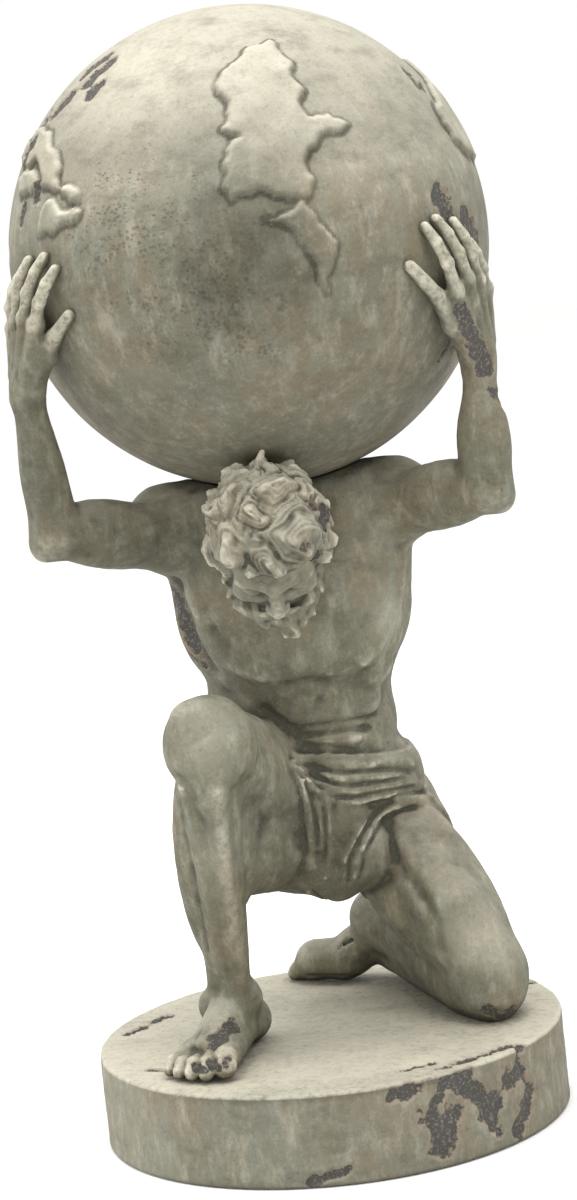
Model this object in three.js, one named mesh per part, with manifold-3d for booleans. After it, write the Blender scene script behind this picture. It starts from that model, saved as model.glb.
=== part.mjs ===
// Kneeling bearded man bearing a globe, on an oval plinth. Millimetres, +Z up.
// The figure faces -Y. The origin lies in the middle of the plinth's underside.
import * as THREE from 'three';
import { mergeVertices } from 'three/addons/utils/BufferGeometryUtils.js';
import { edgeTable, triTable } from 'three/addons/objects/MarchingCubes.js';
import Module from 'manifold-3d';

const wasm = await Module();
wasm.setup();
const { Manifold, Mesh } = wasm;

// Named sizes
const PLINTH_HALF_WIDTH = 126;
const PLINTH_HALF_DEPTH = 136;
const PLINTH_HEIGHT = 50;
const PLINTH_EDGE = 2.5;
const PLINTH_SIDES = 64;
const GLOBE_RADIUS = 127;
const LAND_RELIEF = 1.8;
const SEAT_HEIGHT = 295.7;    // plinth top to the underside of the globe
const GAP = 0.3;              // clearance between touching pieces
const CLAY_STEP = 2.5;        // grid spacing the figure is drawn on
const FIGURE_TRIANGLES = 5800;

// The figure is drawn at a seat height of 295.7 and scales with it
const UNIT = SEAT_HEIGHT / 295.7;
const TOP = PLINTH_HEIGHT + GAP;
const GLOBE_CENTRE = [1.8 * UNIT, 5 * UNIT, TOP + SEAT_HEIGHT + GLOBE_RADIUS];

const colours = {
  plinth: new THREE.MeshStandardMaterial({ color: 0xa19e88, roughness: 0.85, metalness: 0 }),
  figure: new THREE.MeshStandardMaterial({ color: 0x8f8c78, roughness: 0.8, metalness: 0 }),
  globe: new THREE.MeshStandardMaterial({ color: 0xa39d88, roughness: 0.8, metalness: 0 }),
};

// Small vector helpers
const plus = (a, b, s = 1) => [a[0] + b[0] * s, a[1] + b[1] * s, a[2] + b[2] * s];
const minus = (a, b) => plus(a, b, -1);
const times = (a, s) => [a[0] * s, a[1] * s, a[2] * s];
const dot = (a, b) => a[0] * b[0] + a[1] * b[1] + a[2] * b[2];
const cross = (a, b) => [
  a[1] * b[2] - a[2] * b[1],
  a[2] * b[0] - a[0] * b[2],
  a[0] * b[1] - a[1] * b[0],
];
const size = (a) => Math.sqrt(dot(a, a));
const unit = (a) => times(a, 1 / size(a));
const mix = (a, b, t) => plus(times(a, 1 - t), b, t);

// Clay forms: every form is a distance to its own skin, blended into the ones before it
const clay = [];

// A round bone from a to b whose thickness runs from ra to rb
function boneField(a, b, ra, rb) {
  const [ax, ay, az] = a;
  const [bx, by, bz] = minus(b, a);
  const length2 = Math.max(bx * bx + by * by + bz * bz, 1e-9);
  return (x, y, z) => {
    const px = x - ax;
    const py = y - ay;
    const pz = z - az;
    const t = Math.min(1, Math.max(0, (px * bx + py * by + pz * bz) / length2));
    const qx = px - bx * t;
    const qy = py - by * t;
    const qz = pz - bz * t;
    return Math.sqrt(qx * qx + qy * qy + qz * qz) - ra - (rb - ra) * t;
  };
}

// An ellipsoid with its three half sizes along three square axes
function lumpField(centre, sizes, axes) {
  const [cx, cy, cz] = centre;
  const [e, f, g] = axes;
  const [ra, rb, rc] = sizes;
  return (x, y, z) => {
    const px = x - cx;
    const py = y - cy;
    const pz = z - cz;
    const u = (px * e[0] + py * e[1] + pz * e[2]) / ra;
    const v = (px * f[0] + py * f[1] + pz * f[2]) / rb;
    const w = (px * g[0] + py * g[1] + pz * g[2]) / rc;
    const k0 = Math.sqrt(u * u + v * v + w * w);
    const k1 = Math.sqrt((u / ra) ** 2 + (v / rb) ** 2 + (w / rc) ** 2);
    return k1 < 1e-9 ? -Math.min(ra, rb, rc) : (k0 * (k0 - 1)) / k1;
  };
}

const SQUARE = [[1, 0, 0], [0, 1, 0], [0, 0, 1]];
const at = (p) => [p[0] * UNIT, p[1] * UNIT, TOP + p[2] * UNIT];

function put(field, blend, cut = false) {
  clay.push({ field, blend: blend * UNIT, cut });
}

function bone(a, b, ra, rb, blend = 6) {
  put(boneField(at(a), at(b), ra * UNIT, rb * UNIT), blend);
}

function lump(centre, sizes, blend = 6, axes = SQUARE) {
  put(lumpField(at(centre), times(sizes, UNIT), axes), blend);
}

// A muscle lies from a to b, with a width, a depth and the way its depth faces
function muscle(a, b, width, depth, facing, blend = 6) {
  const along = unit(minus(b, a));
  const out = unit(plus(facing, along, -dot(facing, along)));
  const sizes = [size(minus(b, a)) / 2, width, depth];
  lump(mix(a, b, 0.5), sizes, blend, [along, cross(out, along), out]);
}

function crease(a, b, r, blend = 3) {
  put(boneField(at(a), at(b), r * UNIT, r * UNIT), blend, true);
}

function hollow(centre, sizes, blend = 3, axes = SQUARE) {
  put(lumpField(at(centre), times(sizes, UNIT), axes), blend, true);
}

// A run of bones or creases through a list of points
function run(points, ra, rb, blend = 3, cut = false) {
  const last = points.length - 1;
  for (let i = 0; i < last; i += 1) {
    const r0 = (ra + ((rb - ra) * i) / last) * UNIT;
    const r1 = (ra + ((rb - ra) * (i + 1)) / last) * UNIT;
    put(boneField(at(points[i]), at(points[i + 1]), r0, r1), blend, cut);
  }
}

// Cloth of one thickness over the clay so far, inside planes given by a point and an outward normal
function wrap(thickness, edges) {
  const planes = edges.map(([point, normal]) => ({ n: unit(normal), w: dot(at(point), unit(normal)) }));
  const field = (x, y, z) => {
    let far = -1000;
    for (const { n, w } of planes) far = Math.max(far, x * n[0] + y * n[1] + z * n[2] - w);
    return far;
  };
  clay.push({ field, blend: thickness * UNIT, cloth: true });
}

// Points round an ellipse given by its middle and two half axes
function ring(centre, a, b, from = 0, to = 360, count = 14) {
  const points = [];
  for (let i = 0; i <= count; i += 1) {
    const t = ((from + ((to - from) * i) / count) * Math.PI) / 180;
    points.push(plus(plus(centre, a, Math.cos(t)), b, Math.sin(t)));
  }
  return points;
}

// Trunk
function shapeTrunk() {
  lump([18, 46, 113], [40, 29, 31], 10);
  lump([-7, 54, 98], [27, 27, 30], 12);
  lump([40, 56, 97], [23, 23, 27], 12);
  lump([4, 23, 170], [48, 27, 42], 14);
  lump([4.5, 6, 226], [61, 34, 50], 14);
  bone([-36, 4, 266], [46, 4, 268], 25, 25, 16);
  // back: shoulder blades, the long muscles beside the spine, the flanks
  muscle([-42, 24, 266], [-24, 34, 226], 20, 9, [-0.2, 1, 0], 12);
  muscle([52, 24, 268], [34, 34, 228], 20, 9, [0.2, 1, 0], 12);
  muscle([-6, 32, 262], [4, 54, 150], 11, 9, [0, 1, 0], 14);
  muscle([16, 32, 262], [28, 54, 150], 11, 9, [0, 1, 0], 14);
  muscle([-50, 10, 266], [-32, 30, 180], 16, 10, [-0.8, 0.5, 0], 12);
  muscle([62, 10, 270], [43, 30, 180], 16, 10, [0.8, 0.5, 0], 12);
  run([[5, 45, 262], [6, 47, 226], [11, 52, 186], [17, 68, 140]], 3, 3.5, 6, true);
  // chest
  muscle([-2, -27, 234], [-50, -10, 248], 19, 11, [-0.1, -1, 0], 6);
  muscle([14, -27, 235], [62, -10, 251], 19, 11, [0.1, -1, 0], 6);
  run([[6, -38, 248], [6, -37, 222]], 2, 2, 5, true);
  // belly in soft rolls, parted down the middle
  for (const [z, y] of [[206, -26], [175, -12]]) {
    lump([-7, y + 7, z], [17, 8.5, 14], 12);
    lump([20, y + 7, z], [17, 8.5, 14], 12);
  }
  lump([12, 2, 156], [28, 10, 9], 6);
  run([[6, -35, 214], [8, -29, 190], [11, -16, 168]], 1, 1, 7, true);
  run([[-14, -17, 184], [0, -24, 187], [14, -26, 188], [28, -22, 187], [42, -13, 183]], 1, 1, 5, true);
  // ribs and flank muscles
  for (let i = 0; i < 4; i += 1) {
    const z = 230 - 13 * i;
    muscle([-52 + i * 3, -4, z + 4], [-36 + i * 2, -20 + i * 2, z - 4], 4.6, 4, [-1, -0.5, 0], 6);
    muscle([62 - i * 3, -4, z + 4], [46 - i * 2, -20 + i * 2, z - 4], 4.6, 4, [1, -0.5, 0], 6);
  }
  lump([-33, 18, 172], [13, 20, 19], 9);
  lump([42, 22, 158], [11, 20, 15], 9);
}

// Neck and shoulders
function shapeShoulders() {
  bone([3, 4, 274], [-3, -50, 274], 20, 17, 9);
  bone([-54, 2, 280], [-8, -6, 280], 17, 15, 10);
  bone([58, 2, 284], [14, -6, 281], 17, 15, 10);
  lump([-57, -3, 277], [21, 21, 21], 8);
  lump([65, -3, 280], [21, 21, 21], 8);
}

// An arm from the shoulder out to the elbow and up to the wrist
function shapeArm(shoulder, elbow, wrist, thick) {
  const side = Math.sign(elbow[0]);
  const upperMid = mix(shoulder, elbow, 0.5);
  bone(shoulder, elbow, 17, 13, 8);
  muscle(plus(shoulder, [0, -6, 9]), mix(shoulder, elbow, 0.62), 14, 12, [0, -0.4, 1], 6);
  muscle(plus(upperMid, [side * -16, 8, 7]), plus(elbow, [side * -4, 2, 8]), 11, 10, [0, -0.2, 1], 5);
  muscle(plus(shoulder, [side * 6, 0, -8]), plus(elbow, [side * -2, 4, -7]), 11, 10, [0, 0.3, -1], 5);
  bone(elbow, wrist, 12.5, 8.4, 6);
  muscle(plus(elbow, [0, 0, -4]), mix(elbow, wrist, 0.78), thick, thick * 0.86, [0, -1, 0], 6);
  lump(plus(elbow, [side * 7, 3, -7]), [7, 8, 7], 5);
  // the line between the two muscles of the upper arm
  run([plus(upperMid, [side * -14, -14, 1]), plus(elbow, [side * -12, -12, 0])], 1, 1, 4, true);
}

// The hands are laid on the globe by bearing (from the front, to the viewer's right) and height
function onGlobe([bearing, height], lift) {
  const b = (bearing * Math.PI) / 180;
  const h = (height * Math.PI) / 180;
  const out = [Math.sin(b) * Math.cos(h), -Math.cos(b) * Math.cos(h), Math.sin(h)];
  return plus(GLOBE_CENTRE, out, GLOBE_RADIUS + lift * UNIT);
}

function shapeHand(hand) {
  const put3 = (a, b, ra, rb, blend) => put(boneField(a, b, ra * UNIT, rb * UNIT), blend);
  const wrist = onGlobe(hand.wrist, hand.wristLift);
  const heel = onGlobe(hand.heel, hand.wristLift * 0.62);
  put3(wrist, heel, 8.6, 8.5, 5);
  hand.fingers.forEach(({ knuckle, tip, bend }, i) => {
    const base = onGlobe(knuckle, 8.5);
    const root = plus(mix(wrist, base, 0.12), minus(onGlobe(knuckle, 0), onGlobe(hand.middle, 0)), 0.25);
    put3(root, base, 6.4, 4.6, 4);
    const second = onGlobe([knuckle[0] * 0.58 + tip[0] * 0.42, knuckle[1] * 0.58 + tip[1] * 0.42 + bend], 8.2);
    const third = onGlobe([knuckle[0] * 0.26 + tip[0] * 0.74, knuckle[1] * 0.26 + tip[1] * 0.74 + bend], 5.6);
    const end = onGlobe(tip, 2);
    const thick = [3.9, 4.1, 3.9, 3.5][i];
    put3(base, second, thick, thick * 0.88, 1.6);
    put3(second, third, thick * 0.9, thick * 0.8, 1);
    put3(third, end, thick * 0.84, thick * 0.78, 1);
  });
  const ball = onGlobe(hand.thumb[0], 7.5);
  const joint = onGlobe(hand.thumb[1], 5.5);
  const tip = onGlobe(hand.thumb[2], 2.4);
  put3(mix(wrist, heel, 0.6), ball, 8, 6.2, 5);
  put3(ball, joint, 5.6, 4.2, 3);
  put3(joint, tip, 4.3, 3.4, 1.5);
}

const RIGHT_HAND = {
  wrist: [-64, -24.5],
  wristLift: 22,
  heel: [-63.5, -19.5],
  middle: [-63, -11],
  fingers: [
    { knuckle: [-57.5, -10.5], tip: [-50, 1.2], bend: 0 },
    { knuckle: [-61.5, -9], tip: [-54, 4], bend: 0 },
    { knuckle: [-66, -9.5], tip: [-61, 3.4], bend: 0 },
    { knuckle: [-70.5, -11.5], tip: [-69, -0.5], bend: 0 },
  ],
  thumb: [[-59, -18], [-53.5, -13.8], [-47.8, -9.4]],
};

const LEFT_HAND = {
  wrist: [61, -29],
  wristLift: 18,
  heel: [59.5, -23.5],
  middle: [55, -14],
  fingers: [
    { knuckle: [50, -12.5], tip: [43.6, 2], bend: 0 },
    { knuckle: [54, -10.5], tip: [47.6, 3.2], bend: 0 },
    { knuckle: [58.5, -11], tip: [54, 2], bend: 0 },
    { knuckle: [63, -13.5], tip: [60.5, -3], bend: 0 },
  ],
  thumb: [[52, -20.5], [45.5, -13.5], [38, -6.2]],
};

// The standing leg, knee up and foot flat
function shapeStandingLeg() {
  bone([-5, 44, 100], [-47, -64, 172], 31, 20, 12);
  muscle([-4, 26, 136], [-46, -66, 188], 17, 13, [0, -0.3, 1], 8);
  muscle([8, 34, 102], [-34, -52, 160], 15, 13, [1, -0.2, 0.2], 8);
  muscle([-2, 50, 80], [-42, -44, 144], 17, 14, [0, 0, -1], 9);
  bone([-36, -14, 106], [2, 44, 95], 27, 27, 8);
  lump([-47, -66, 176], [22, 20, 21], 9);
  lump([-48, -82, 184], [12, 7, 12], 7);
  lump([-61, -68, 172], [8, 13, 13], 7);
  lump([-33, -68, 172], [9, 13, 14], 7);
  lump([-49, -79, 153], [8, 6, 9], 8);
  bone([-49, -64, 164], [-51, -33, 32], 16, 11.5, 9);
  muscle([-53, -50, 162], [-53, -24, 62], 16.5, 15, [0, 1, 0], 7);
  muscle([-60, -58, 158], [-58, -30, 50], 9, 9, [-1, 0, 0], 6);
  bone([-46, -79, 150], [-47, -42, 38], 5.5, 5, 6);
  lump([-63.5, -30, 25], [5.5, 7, 8], 5);
  lump([-40, -31, 28], [5.5, 7, 8], 5);
  // foot
  bone([-51, -22, 44], [-45, -12, 14], 8, 11, 7);
  lump([-44, -14, 11], [13, 14, 12], 6);
  bone([-50, -30, 26], [-61, -66, 11], 13, 9.5, 7);
  bone([-44, -20, 12], [-56, -74, 8], 9, 8, 6);
  bone([-52, -18, 8], [-77, -62, 6.5], 10, 7.5, 6);
  const toes = [
    [[-55.5, -74, 8], [-56.5, -91, 7], 7, 6.4],
    [[-64.5, -76, 7], [-66.5, -92.5, 5], 4.8, 4.4],
    [[-71, -73, 6.5], [-74.2, -88, 4.6], 4.5, 4],
    [[-76.5, -68.5, 6], [-80.6, -82, 4.3], 4.3, 3.8],
    [[-81, -62.5, 5.5], [-86, -74.5, 4], 4.2, 3.6],
  ];
  for (const [a, b, ra, rb] of toes) {
    const bend = plus(mix(a, b, 0.55), [0, 0, 2.2]);
    bone(a, bend, ra, ra * 0.92, 2);
    bone(bend, b, ra * 0.92, rb, 1);
  }
}

// The kneeling leg, knee down and foot drawn back
function shapeKneelingLeg() {
  bone([41, 44, 102], [86, -8, 26], 31, 21, 12);
  muscle([50, 24, 118], [98, -8, 36], 16, 15, [1, -0.2, 0.5], 7);
  muscle([42, 14, 110], [84, -28, 34], 16, 13, [0.1, -1, 0.4], 7);
  muscle([26, 30, 90], [68, -14, 32], 17, 14, [-0.9, -0.5, 0], 7);
  muscle([36, 60, 86], [76, 16, 34], 17, 14, [-0.2, 1, -0.3], 8);
  bone([72, -16, 62], [88, -18, 20], 18, 18, 8);
  lump([88, -12, 21], [20, 21, 20], 8);
  lump([88, -18, 12], [17, 22.5, 15], 6);
  lump([91, -33, 24], [9, 6, 11], 5);
  // lower leg and foot, along the plinth towards the back
  bone([80, -2, 16], [44, 90, 15], 20, 13, 8);
  bone([80, 8, 30], [35, 84, 37], 19, 18, 8);
  muscle([74, 8, 24], [40, 66, 28], 12, 11, [-0.9, -0.4, 0.1], 6);
  bone([38, 88, 28], [22, 99, 18], 15, 12, 7);
  lump([20, 97, 17], [11, 12, 13], 5);
  bone([12, 99, 12], [-4, 106, 12], 12.5, 11, 5);
  bone([-4, 106, 10], [-14, 111, 5], 9.5, 6, 5);
  for (let i = 0; i < 5; i += 1) {
    const a = [-8 - i, 108 + i * 4, 6 - i * 0.6];
    bone(a, plus(a, [-9 + i, 3 + i * 0.6, -2.5]), 4.8 - i * 0.3, 3.8 - i * 0.2, 1.5);
  }
  // lines between the muscles of the thigh
  run([[41, 6, 102], [44, -5, 89], [48, -16, 80], [55, -21, 71], [60, -28, 58], [61, -28, 42]], 1.7, 1.3, 7, true);
}

// Loincloth: a wrap round the hips, rolled at the waist and hemmed on each thigh
function shapeCloth() {
  lump([18, 45, 114], [44, 32, 33], 4);
  lump([26, 20, 136], [33, 29, 21], 8);
  lump([40, 26, 128], [24, 26, 24], 8);
  muscle([16, -1, 140], [12, 4, 66], 20, 17, [0, -1, 0], 7);
  bone([-2, 10, 94], [24, 8, 92], 21, 21, 6);
  wrap(2.4, [
    [[0, 0, 152], [0.13, -0.06, 1]],
    [[56, 12, 121], [0.48, -0.8, -0.36]],
    [[-4, -20, 135], [-0.77, -0.62, -0.18]],
    [[0, 0, 62], [0, 0, -1]],
  ]);
  const waist = [15, 27, 149];
  run(ring(waist, [41.5, 3, -6], [0, 32.5, 2]), 3, 3, 4);
  run(ring(plus(waist, [1, 1, -8]), [44, 3, -8], [0, 34, 2]), 2.6, 2.6, 4.5);
  // folds that fall to the crotch, and the edge round the kneeling thigh
  run([[44, 2, 126], [33, -8, 112], [25, -12, 96], [21, -6, 80]], 2.6, 2, 4);
  run([[2, -12, 134], [6, -15, 120], [7, -16, 104], [6, -12, 88]], 2.2, 1.8, 4);
}

// The head is bowed: across, towards the crown and towards the face
const HEAD_CENTRE = [-4, -68, 271];
const BOW = (57 * Math.PI) / 180;
const HEAD_ACROSS = unit([1, 0, 0.05]);
const HEAD_FACE = [0, -Math.cos(BOW), -Math.sin(BOW)];
const HEAD_CROWN = cross(HEAD_ACROSS, HEAD_FACE).map((v) => -v);
const HEAD_AXES = [HEAD_ACROSS, HEAD_CROWN, HEAD_FACE];

function onHead(across, crown, face) {
  const p = plus(plus(HEAD_CENTRE, HEAD_ACROSS, across), HEAD_CROWN, crown);
  return plus(p, HEAD_FACE, face);
}

function shapeHead() {
  lump(onHead(0, 9, -3), [25, 28, 30], 8, HEAD_AXES);
  lump(onHead(0, -10, 8), [19.5, 25, 19], 8, HEAD_AXES);
  lump(onHead(0, -33, 17), [9, 7, 8], 6, HEAD_AXES);
  for (const s of [-1, 1]) {
    bone(onHead(s * 2, 7, 26.5), onHead(s * 17, 6, 19), 4, 3.6, 4);
    hollow(onHead(s * 10.5, 0, 28), [7, 5, 6], 4, HEAD_AXES);
    lump(onHead(s * 10.5, 0, 20), [5.6, 4.4, 4.4], 1.5, HEAD_AXES);
    lump(onHead(s * 15, -8, 17), [7, 6, 7], 5, HEAD_AXES);
    lump(onHead(s * 4, -13.5, 28), [2.6, 2.4, 3], 1.5, HEAD_AXES);
    run([onHead(s * 1, -18, 29), onHead(s * 8, -21, 27), onHead(s * 14, -28, 22)], 3, 2.2, 2);
  }
  bone(onHead(0, 5, 26), onHead(0, -12, 31), 2.6, 4, 3);
  lump(onHead(0, -24.5, 26.5), [6, 2.4, 3], 1, HEAD_AXES);
}

// Beard: locks that hang from the jaw and turn at their ends
function shapeBeard() {
  bone(onHead(-20, -6, 2), onHead(-14, -32, 12), 7, 8, 5);
  bone(onHead(20, -6, 2), onHead(14, -32, 12), 7, 8, 5);
  bone(onHead(0, -32, 14), [3, -48, 234], 12, 9, 6);
  for (let i = 0; i < 9; i += 1) {
    const t = (i - 4) / 4;
    const start = onHead(t * 18, -25 - 8 * (1 - t * t), 20 - 8 * t * t);
    const end = [3 + t * 18, -50 + 4 * t * t, 222 + 14 * t * t + 3 * (i % 2)];
    const swing = mix(start, end, 0.55);
    run([start, plus(swing, [2.5 * (i % 2 ? 1 : -1), -4, 0]), end], 4.4, 2.4, 1.5);
  }
}

// Hair: snail curls set over the scalp by a golden spiral
function shapeHair(count = 34) {
  lump(onHead(0, 13, -6), [31, 31, 32], 3, HEAD_AXES);
  const golden = Math.PI * (3 - Math.sqrt(5));
  for (let i = 0; i < count; i += 1) {
    const up = 1 - (1.55 * (i + 0.5)) / count;
    const flat = Math.sqrt(1 - up * up);
    const a = Math.cos(i * golden) * flat;
    const f = Math.sin(i * golden) * flat;
    if (f > 0.5 && up < 0.3) continue;
    const curl = 7.6 + 1.4 * Math.sin(i * 2.3);
    const centre = onHead(a * 31.5, 13 + up * 31.5, -6 + f * 32.5);
    const out = unit(plus(plus(times(HEAD_ACROSS, a), HEAD_CROWN, up), HEAD_FACE, f));
    const side = unit(cross(out, [0.3, 0.2, 0.93]));
    const over = cross(out, side);
    const turn = i * 1.9;
    const points = [];
    for (let j = 0; j <= 6; j += 1) {
      const angle = turn + j * 0.86;
      const r = curl * (0.95 - 0.06 * j);
      const p = plus(plus(centre, side, Math.cos(angle) * r), over, Math.sin(angle) * r);
      points.push(plus(p, out, 0.8 + j * 0.25));
    }
    run(points, curl * 0.42, curl * 0.32, 1.2);
    put(boneField(at(centre), at(plus(centre, out, 5)), 1.6 * UNIT, 2 * UNIT), 1.5, true);
  }
}

// Smooth joining and cutting
function joined(a, b, k) {
  const h = Math.max(k - Math.abs(a - b), 0);
  return Math.min(a, b) - (h * h) / (4 * k);
}

function blended(list, x, y, z) {
  let d = 1000;
  for (const { field, blend, cut, cloth } of list) {
    const e = field(x, y, z);
    if (cloth) d = Math.min(d, Math.max(d - blend, e));
    else d = cut ? -joined(-d, e, blend) : joined(d, e, blend);
  }
  return d;
}

// Fill a grid block by block, each block with only the forms that reach it
function sampleClay(low, high, step) {
  const [nx, ny, nz] = low.map((v, i) => Math.ceil((high[i] - v) / step) + 1);
  const values = new Float32Array(nx * ny * nz).fill(50);
  const block = 8;
  const half = (block * step) / 2;
  const reach = half * Math.sqrt(3);
  for (let k = 0; k < nz; k += block) {
    for (let j = 0; j < ny; j += block) {
      for (let i = 0; i < nx; i += block) {
        const cx = low[0] + i * step + half;
        const cy = low[1] + j * step + half;
        const cz = low[2] + k * step + half;
        const near = clay.filter(({ field, blend }) => field(cx, cy, cz) < reach * 1.35 + blend);
        const middle = near.length ? blended(near, cx, cy, cz) : 50;
        const plain = Math.abs(middle) > reach * 1.5 + 8;
        for (let c = k; c < Math.min(k + block, nz); c += 1) {
          for (let b = j; b < Math.min(j + block, ny); b += 1) {
            for (let a = i; a < Math.min(i + block, nx); a += 1) {
              const x = low[0] + a * step;
              const y = low[1] + b * step;
              const z = low[2] + c * step;
              const d = plain ? middle : blended(near, x, y, z);
              values[(c * ny + b) * nx + a] = Math.abs(d) < 1e-3 ? 1e-3 : d;
            }
          }
        }
      }
    }
  }
  return { values, nx, ny, nz, low, step };
}

// Draw the skin of the sampled clay
const CORNERS = [[0, 0, 0], [1, 0, 0], [1, 1, 0], [0, 1, 0], [0, 0, 1], [1, 0, 1], [1, 1, 1], [0, 1, 1]];
const CORNER_BITS = [1, 2, 4, 8, 16, 32, 64, 128];
const EDGE_ENDS = [
  [0, 1], [1, 2], [3, 2], [0, 3], [4, 5], [5, 6], [7, 6], [4, 7], [0, 4], [1, 5], [2, 6], [3, 7],
];

function skin({ values, nx, ny, nz, low, step }) {
  const places = [];
  const faces = [];
  const known = new Map();
  const offsets = CORNERS.map(([x, y, z]) => (z * ny + y) * nx + x);
  function pointOn(cell, edge) {
    const a = cell + offsets[EDGE_ENDS[edge][0]];
    const b = cell + offsets[EDGE_ENDS[edge][1]];
    const key = a * 4 + (b - a === 1 ? 0 : b - a === nx ? 1 : 2);
    const found = known.get(key);
    if (found !== undefined) return found;
    const t = values[a] / (values[a] - values[b]);
    const grid = (q) => [q % nx, Math.floor(q / nx) % ny, Math.floor(q / (nx * ny))];
    const place = plus(low, mix(grid(a), grid(b), t), step);
    places.push(...place);
    known.set(key, places.length / 3 - 1);
    return places.length / 3 - 1;
  }
  for (let k = 0; k < nz - 1; k += 1) {
    for (let j = 0; j < ny - 1; j += 1) {
      for (let i = 0; i < nx - 1; i += 1) {
        const cell = (k * ny + j) * nx + i;
        let bits = 0;
        for (let c = 0; c < 8; c += 1) if (values[cell + offsets[c]] < 0) bits |= CORNER_BITS[c];
        if (edgeTable[bits] === 0) continue;
        for (let t = bits * 16; triTable[t] !== -1; t += 3) {
          const p = pointOn(cell, triTable[t]);
          const q = pointOn(cell, triTable[t + 1]);
          const r = pointOn(cell, triTable[t + 2]);
          faces.push(p, r, q);
        }
      }
    }
  }
  return { places: Float64Array.from(places), faces: Int32Array.from(faces) };
}

// Thin a closed mesh by folding away the edges that matter least
function thinned({ places, faces }, target) {
  const count = places.length / 3;
  const around = Array.from({ length: count }, () => new Set());
  const quadrics = new Float64Array(count * 10);
  const stamps = new Int32Array(count);
  const alive = new Uint8Array(faces.length / 3).fill(1);
  const P = (v) => [places[3 * v], places[3 * v + 1], places[3 * v + 2]];
  const normalOf = (a, b, c) => cross(minus(b, a), minus(c, a));
  for (let f = 0; f < alive.length; f += 1) {
    const [a, b, c] = faces.slice(3 * f, 3 * f + 3);
    const area = normalOf(P(a), P(b), P(c));
    const weight = size(area) || 1e-12;
    const [x, y, z] = times(area, 1 / weight);
    const w = -dot([x, y, z], P(a));
    const q = [x * x, x * y, x * z, x * w, y * y, y * z, y * w, z * z, z * w, w * w];
    for (const v of [a, b, c]) {
      around[v].add(f);
      for (let i = 0; i < 10; i += 1) quadrics[10 * v + i] += q[i] * weight;
    }
  }
  const heap = [];
  function push(item) {
    let i = heap.push(item) - 1;
    while (i > 0) {
      const up = (i - 1) >> 1;
      if (heap[up].cost <= item.cost) break;
      heap[i] = heap[up];
      i = up;
    }
    heap[i] = item;
  }
  function pop() {
    const first = heap[0];
    const item = heap.pop();
    if (!heap.length) return first;
    let i = 0;
    for (;;) {
      let down = 2 * i + 1;
      if (down >= heap.length) break;
      if (down + 1 < heap.length && heap[down + 1].cost < heap[down].cost) down += 1;
      if (heap[down].cost >= item.cost) break;
      heap[i] = heap[down];
      i = down;
    }
    heap[i] = item;
    return first;
  }
  function offer(u, v) {
    const q = new Float64Array(10);
    for (let i = 0; i < 10; i += 1) q[i] = quadrics[10 * u + i] + quadrics[10 * v + i];
    const errorAt = ([x, y, z]) => x * x * q[0] + 2 * x * y * q[1] + 2 * x * z * q[2] + 2 * x * q[3]
      + y * y * q[4] + 2 * y * z * q[5] + 2 * y * q[6] + z * z * q[7] + 2 * z * q[8] + q[9];
    const det = q[0] * (q[4] * q[7] - q[5] * q[5]) - q[1] * (q[1] * q[7] - q[5] * q[2])
      + q[2] * (q[1] * q[5] - q[4] * q[2]);
    const middle = mix(P(u), P(v), 0.5);
    let spot = middle;
    if (Math.abs(det) > 1e-3) {
      const rows = [[q[0], q[1], q[2]], [q[1], q[4], q[5]], [q[2], q[5], q[7]]];
      const right = [-q[3], -q[6], -q[8]];
      const solved = [0, 1, 2].map((c) => {
        const m = rows.map((row, i) => row.map((value, j) => (j === c ? right[i] : value)));
        return dot(m[0], cross(m[1], m[2])) / det;
      });
      if (size(minus(solved, middle)) < 2 * size(minus(P(u), P(v)))) spot = solved;
    }
    const cost = Math.abs(errorAt(spot)) + 1e-4 * size(minus(P(u), P(v)));
    push({ cost, u, v, spot, su: stamps[u], sv: stamps[v] });
  }
  const corners = (f) => [faces[3 * f], faces[3 * f + 1], faces[3 * f + 2]];
  function neighbours(v) {
    const set = new Set();
    for (const f of around[v]) for (const w of corners(f)) if (w !== v) set.add(w);
    return set;
  }
  for (let v = 0; v < count; v += 1) for (const w of neighbours(v)) if (w > v) offer(v, w);
  let left = alive.length;
  while (left > target && heap.length) {
    const { u, v, spot, su, sv } = pop();
    if (stamps[u] !== su || stamps[v] !== sv) continue;
    const beside = neighbours(u);
    const others = neighbours(v);
    let shared = 0;
    for (const w of beside) if (others.has(w)) shared += 1;
    if (shared !== 2) continue;
    let turned = false;
    for (const [from, to] of [[u, v], [v, u]]) {
      for (const f of around[from]) {
        const ids = corners(f);
        if (ids.includes(to)) continue;
        const before = normalOf(...ids.map(P));
        const after = normalOf(...ids.map((w) => (w === from ? spot : P(w))));
        const sizes = size(before) * size(after);
        if (dot(before, after) < 0.3 * sizes || size(after) < 1e-3) turned = true;
      }
    }
    if (turned) continue;
    for (const f of [...around[v]]) {
      const ids = corners(f);
      if (ids.includes(u)) {
        alive[f] = 0;
        left -= 1;
        for (const w of ids) around[w].delete(f);
      } else {
        for (let i = 0; i < 3; i += 1) if (faces[3 * f + i] === v) faces[3 * f + i] = u;
        around[u].add(f);
      }
    }
    around[v].clear();
    stamps[v] = -1;
    places.set(spot, 3 * u);
    for (let i = 0; i < 10; i += 1) quadrics[10 * u + i] += quadrics[10 * v + i];
    stamps[u] += 1;
    for (const w of neighbours(u)) offer(u, w);
  }
  const renamed = new Map();
  const keptPlaces = [];
  const keptFaces = [];
  for (let f = 0; f < alive.length; f += 1) {
    if (!alive[f]) continue;
    for (const v of corners(f)) {
      if (!renamed.has(v)) {
        renamed.set(v, renamed.size);
        keptPlaces.push(...P(v));
      }
      keptFaces.push(renamed.get(v));
    }
  }
  return { places: keptPlaces, faces: keptFaces };
}

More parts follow.
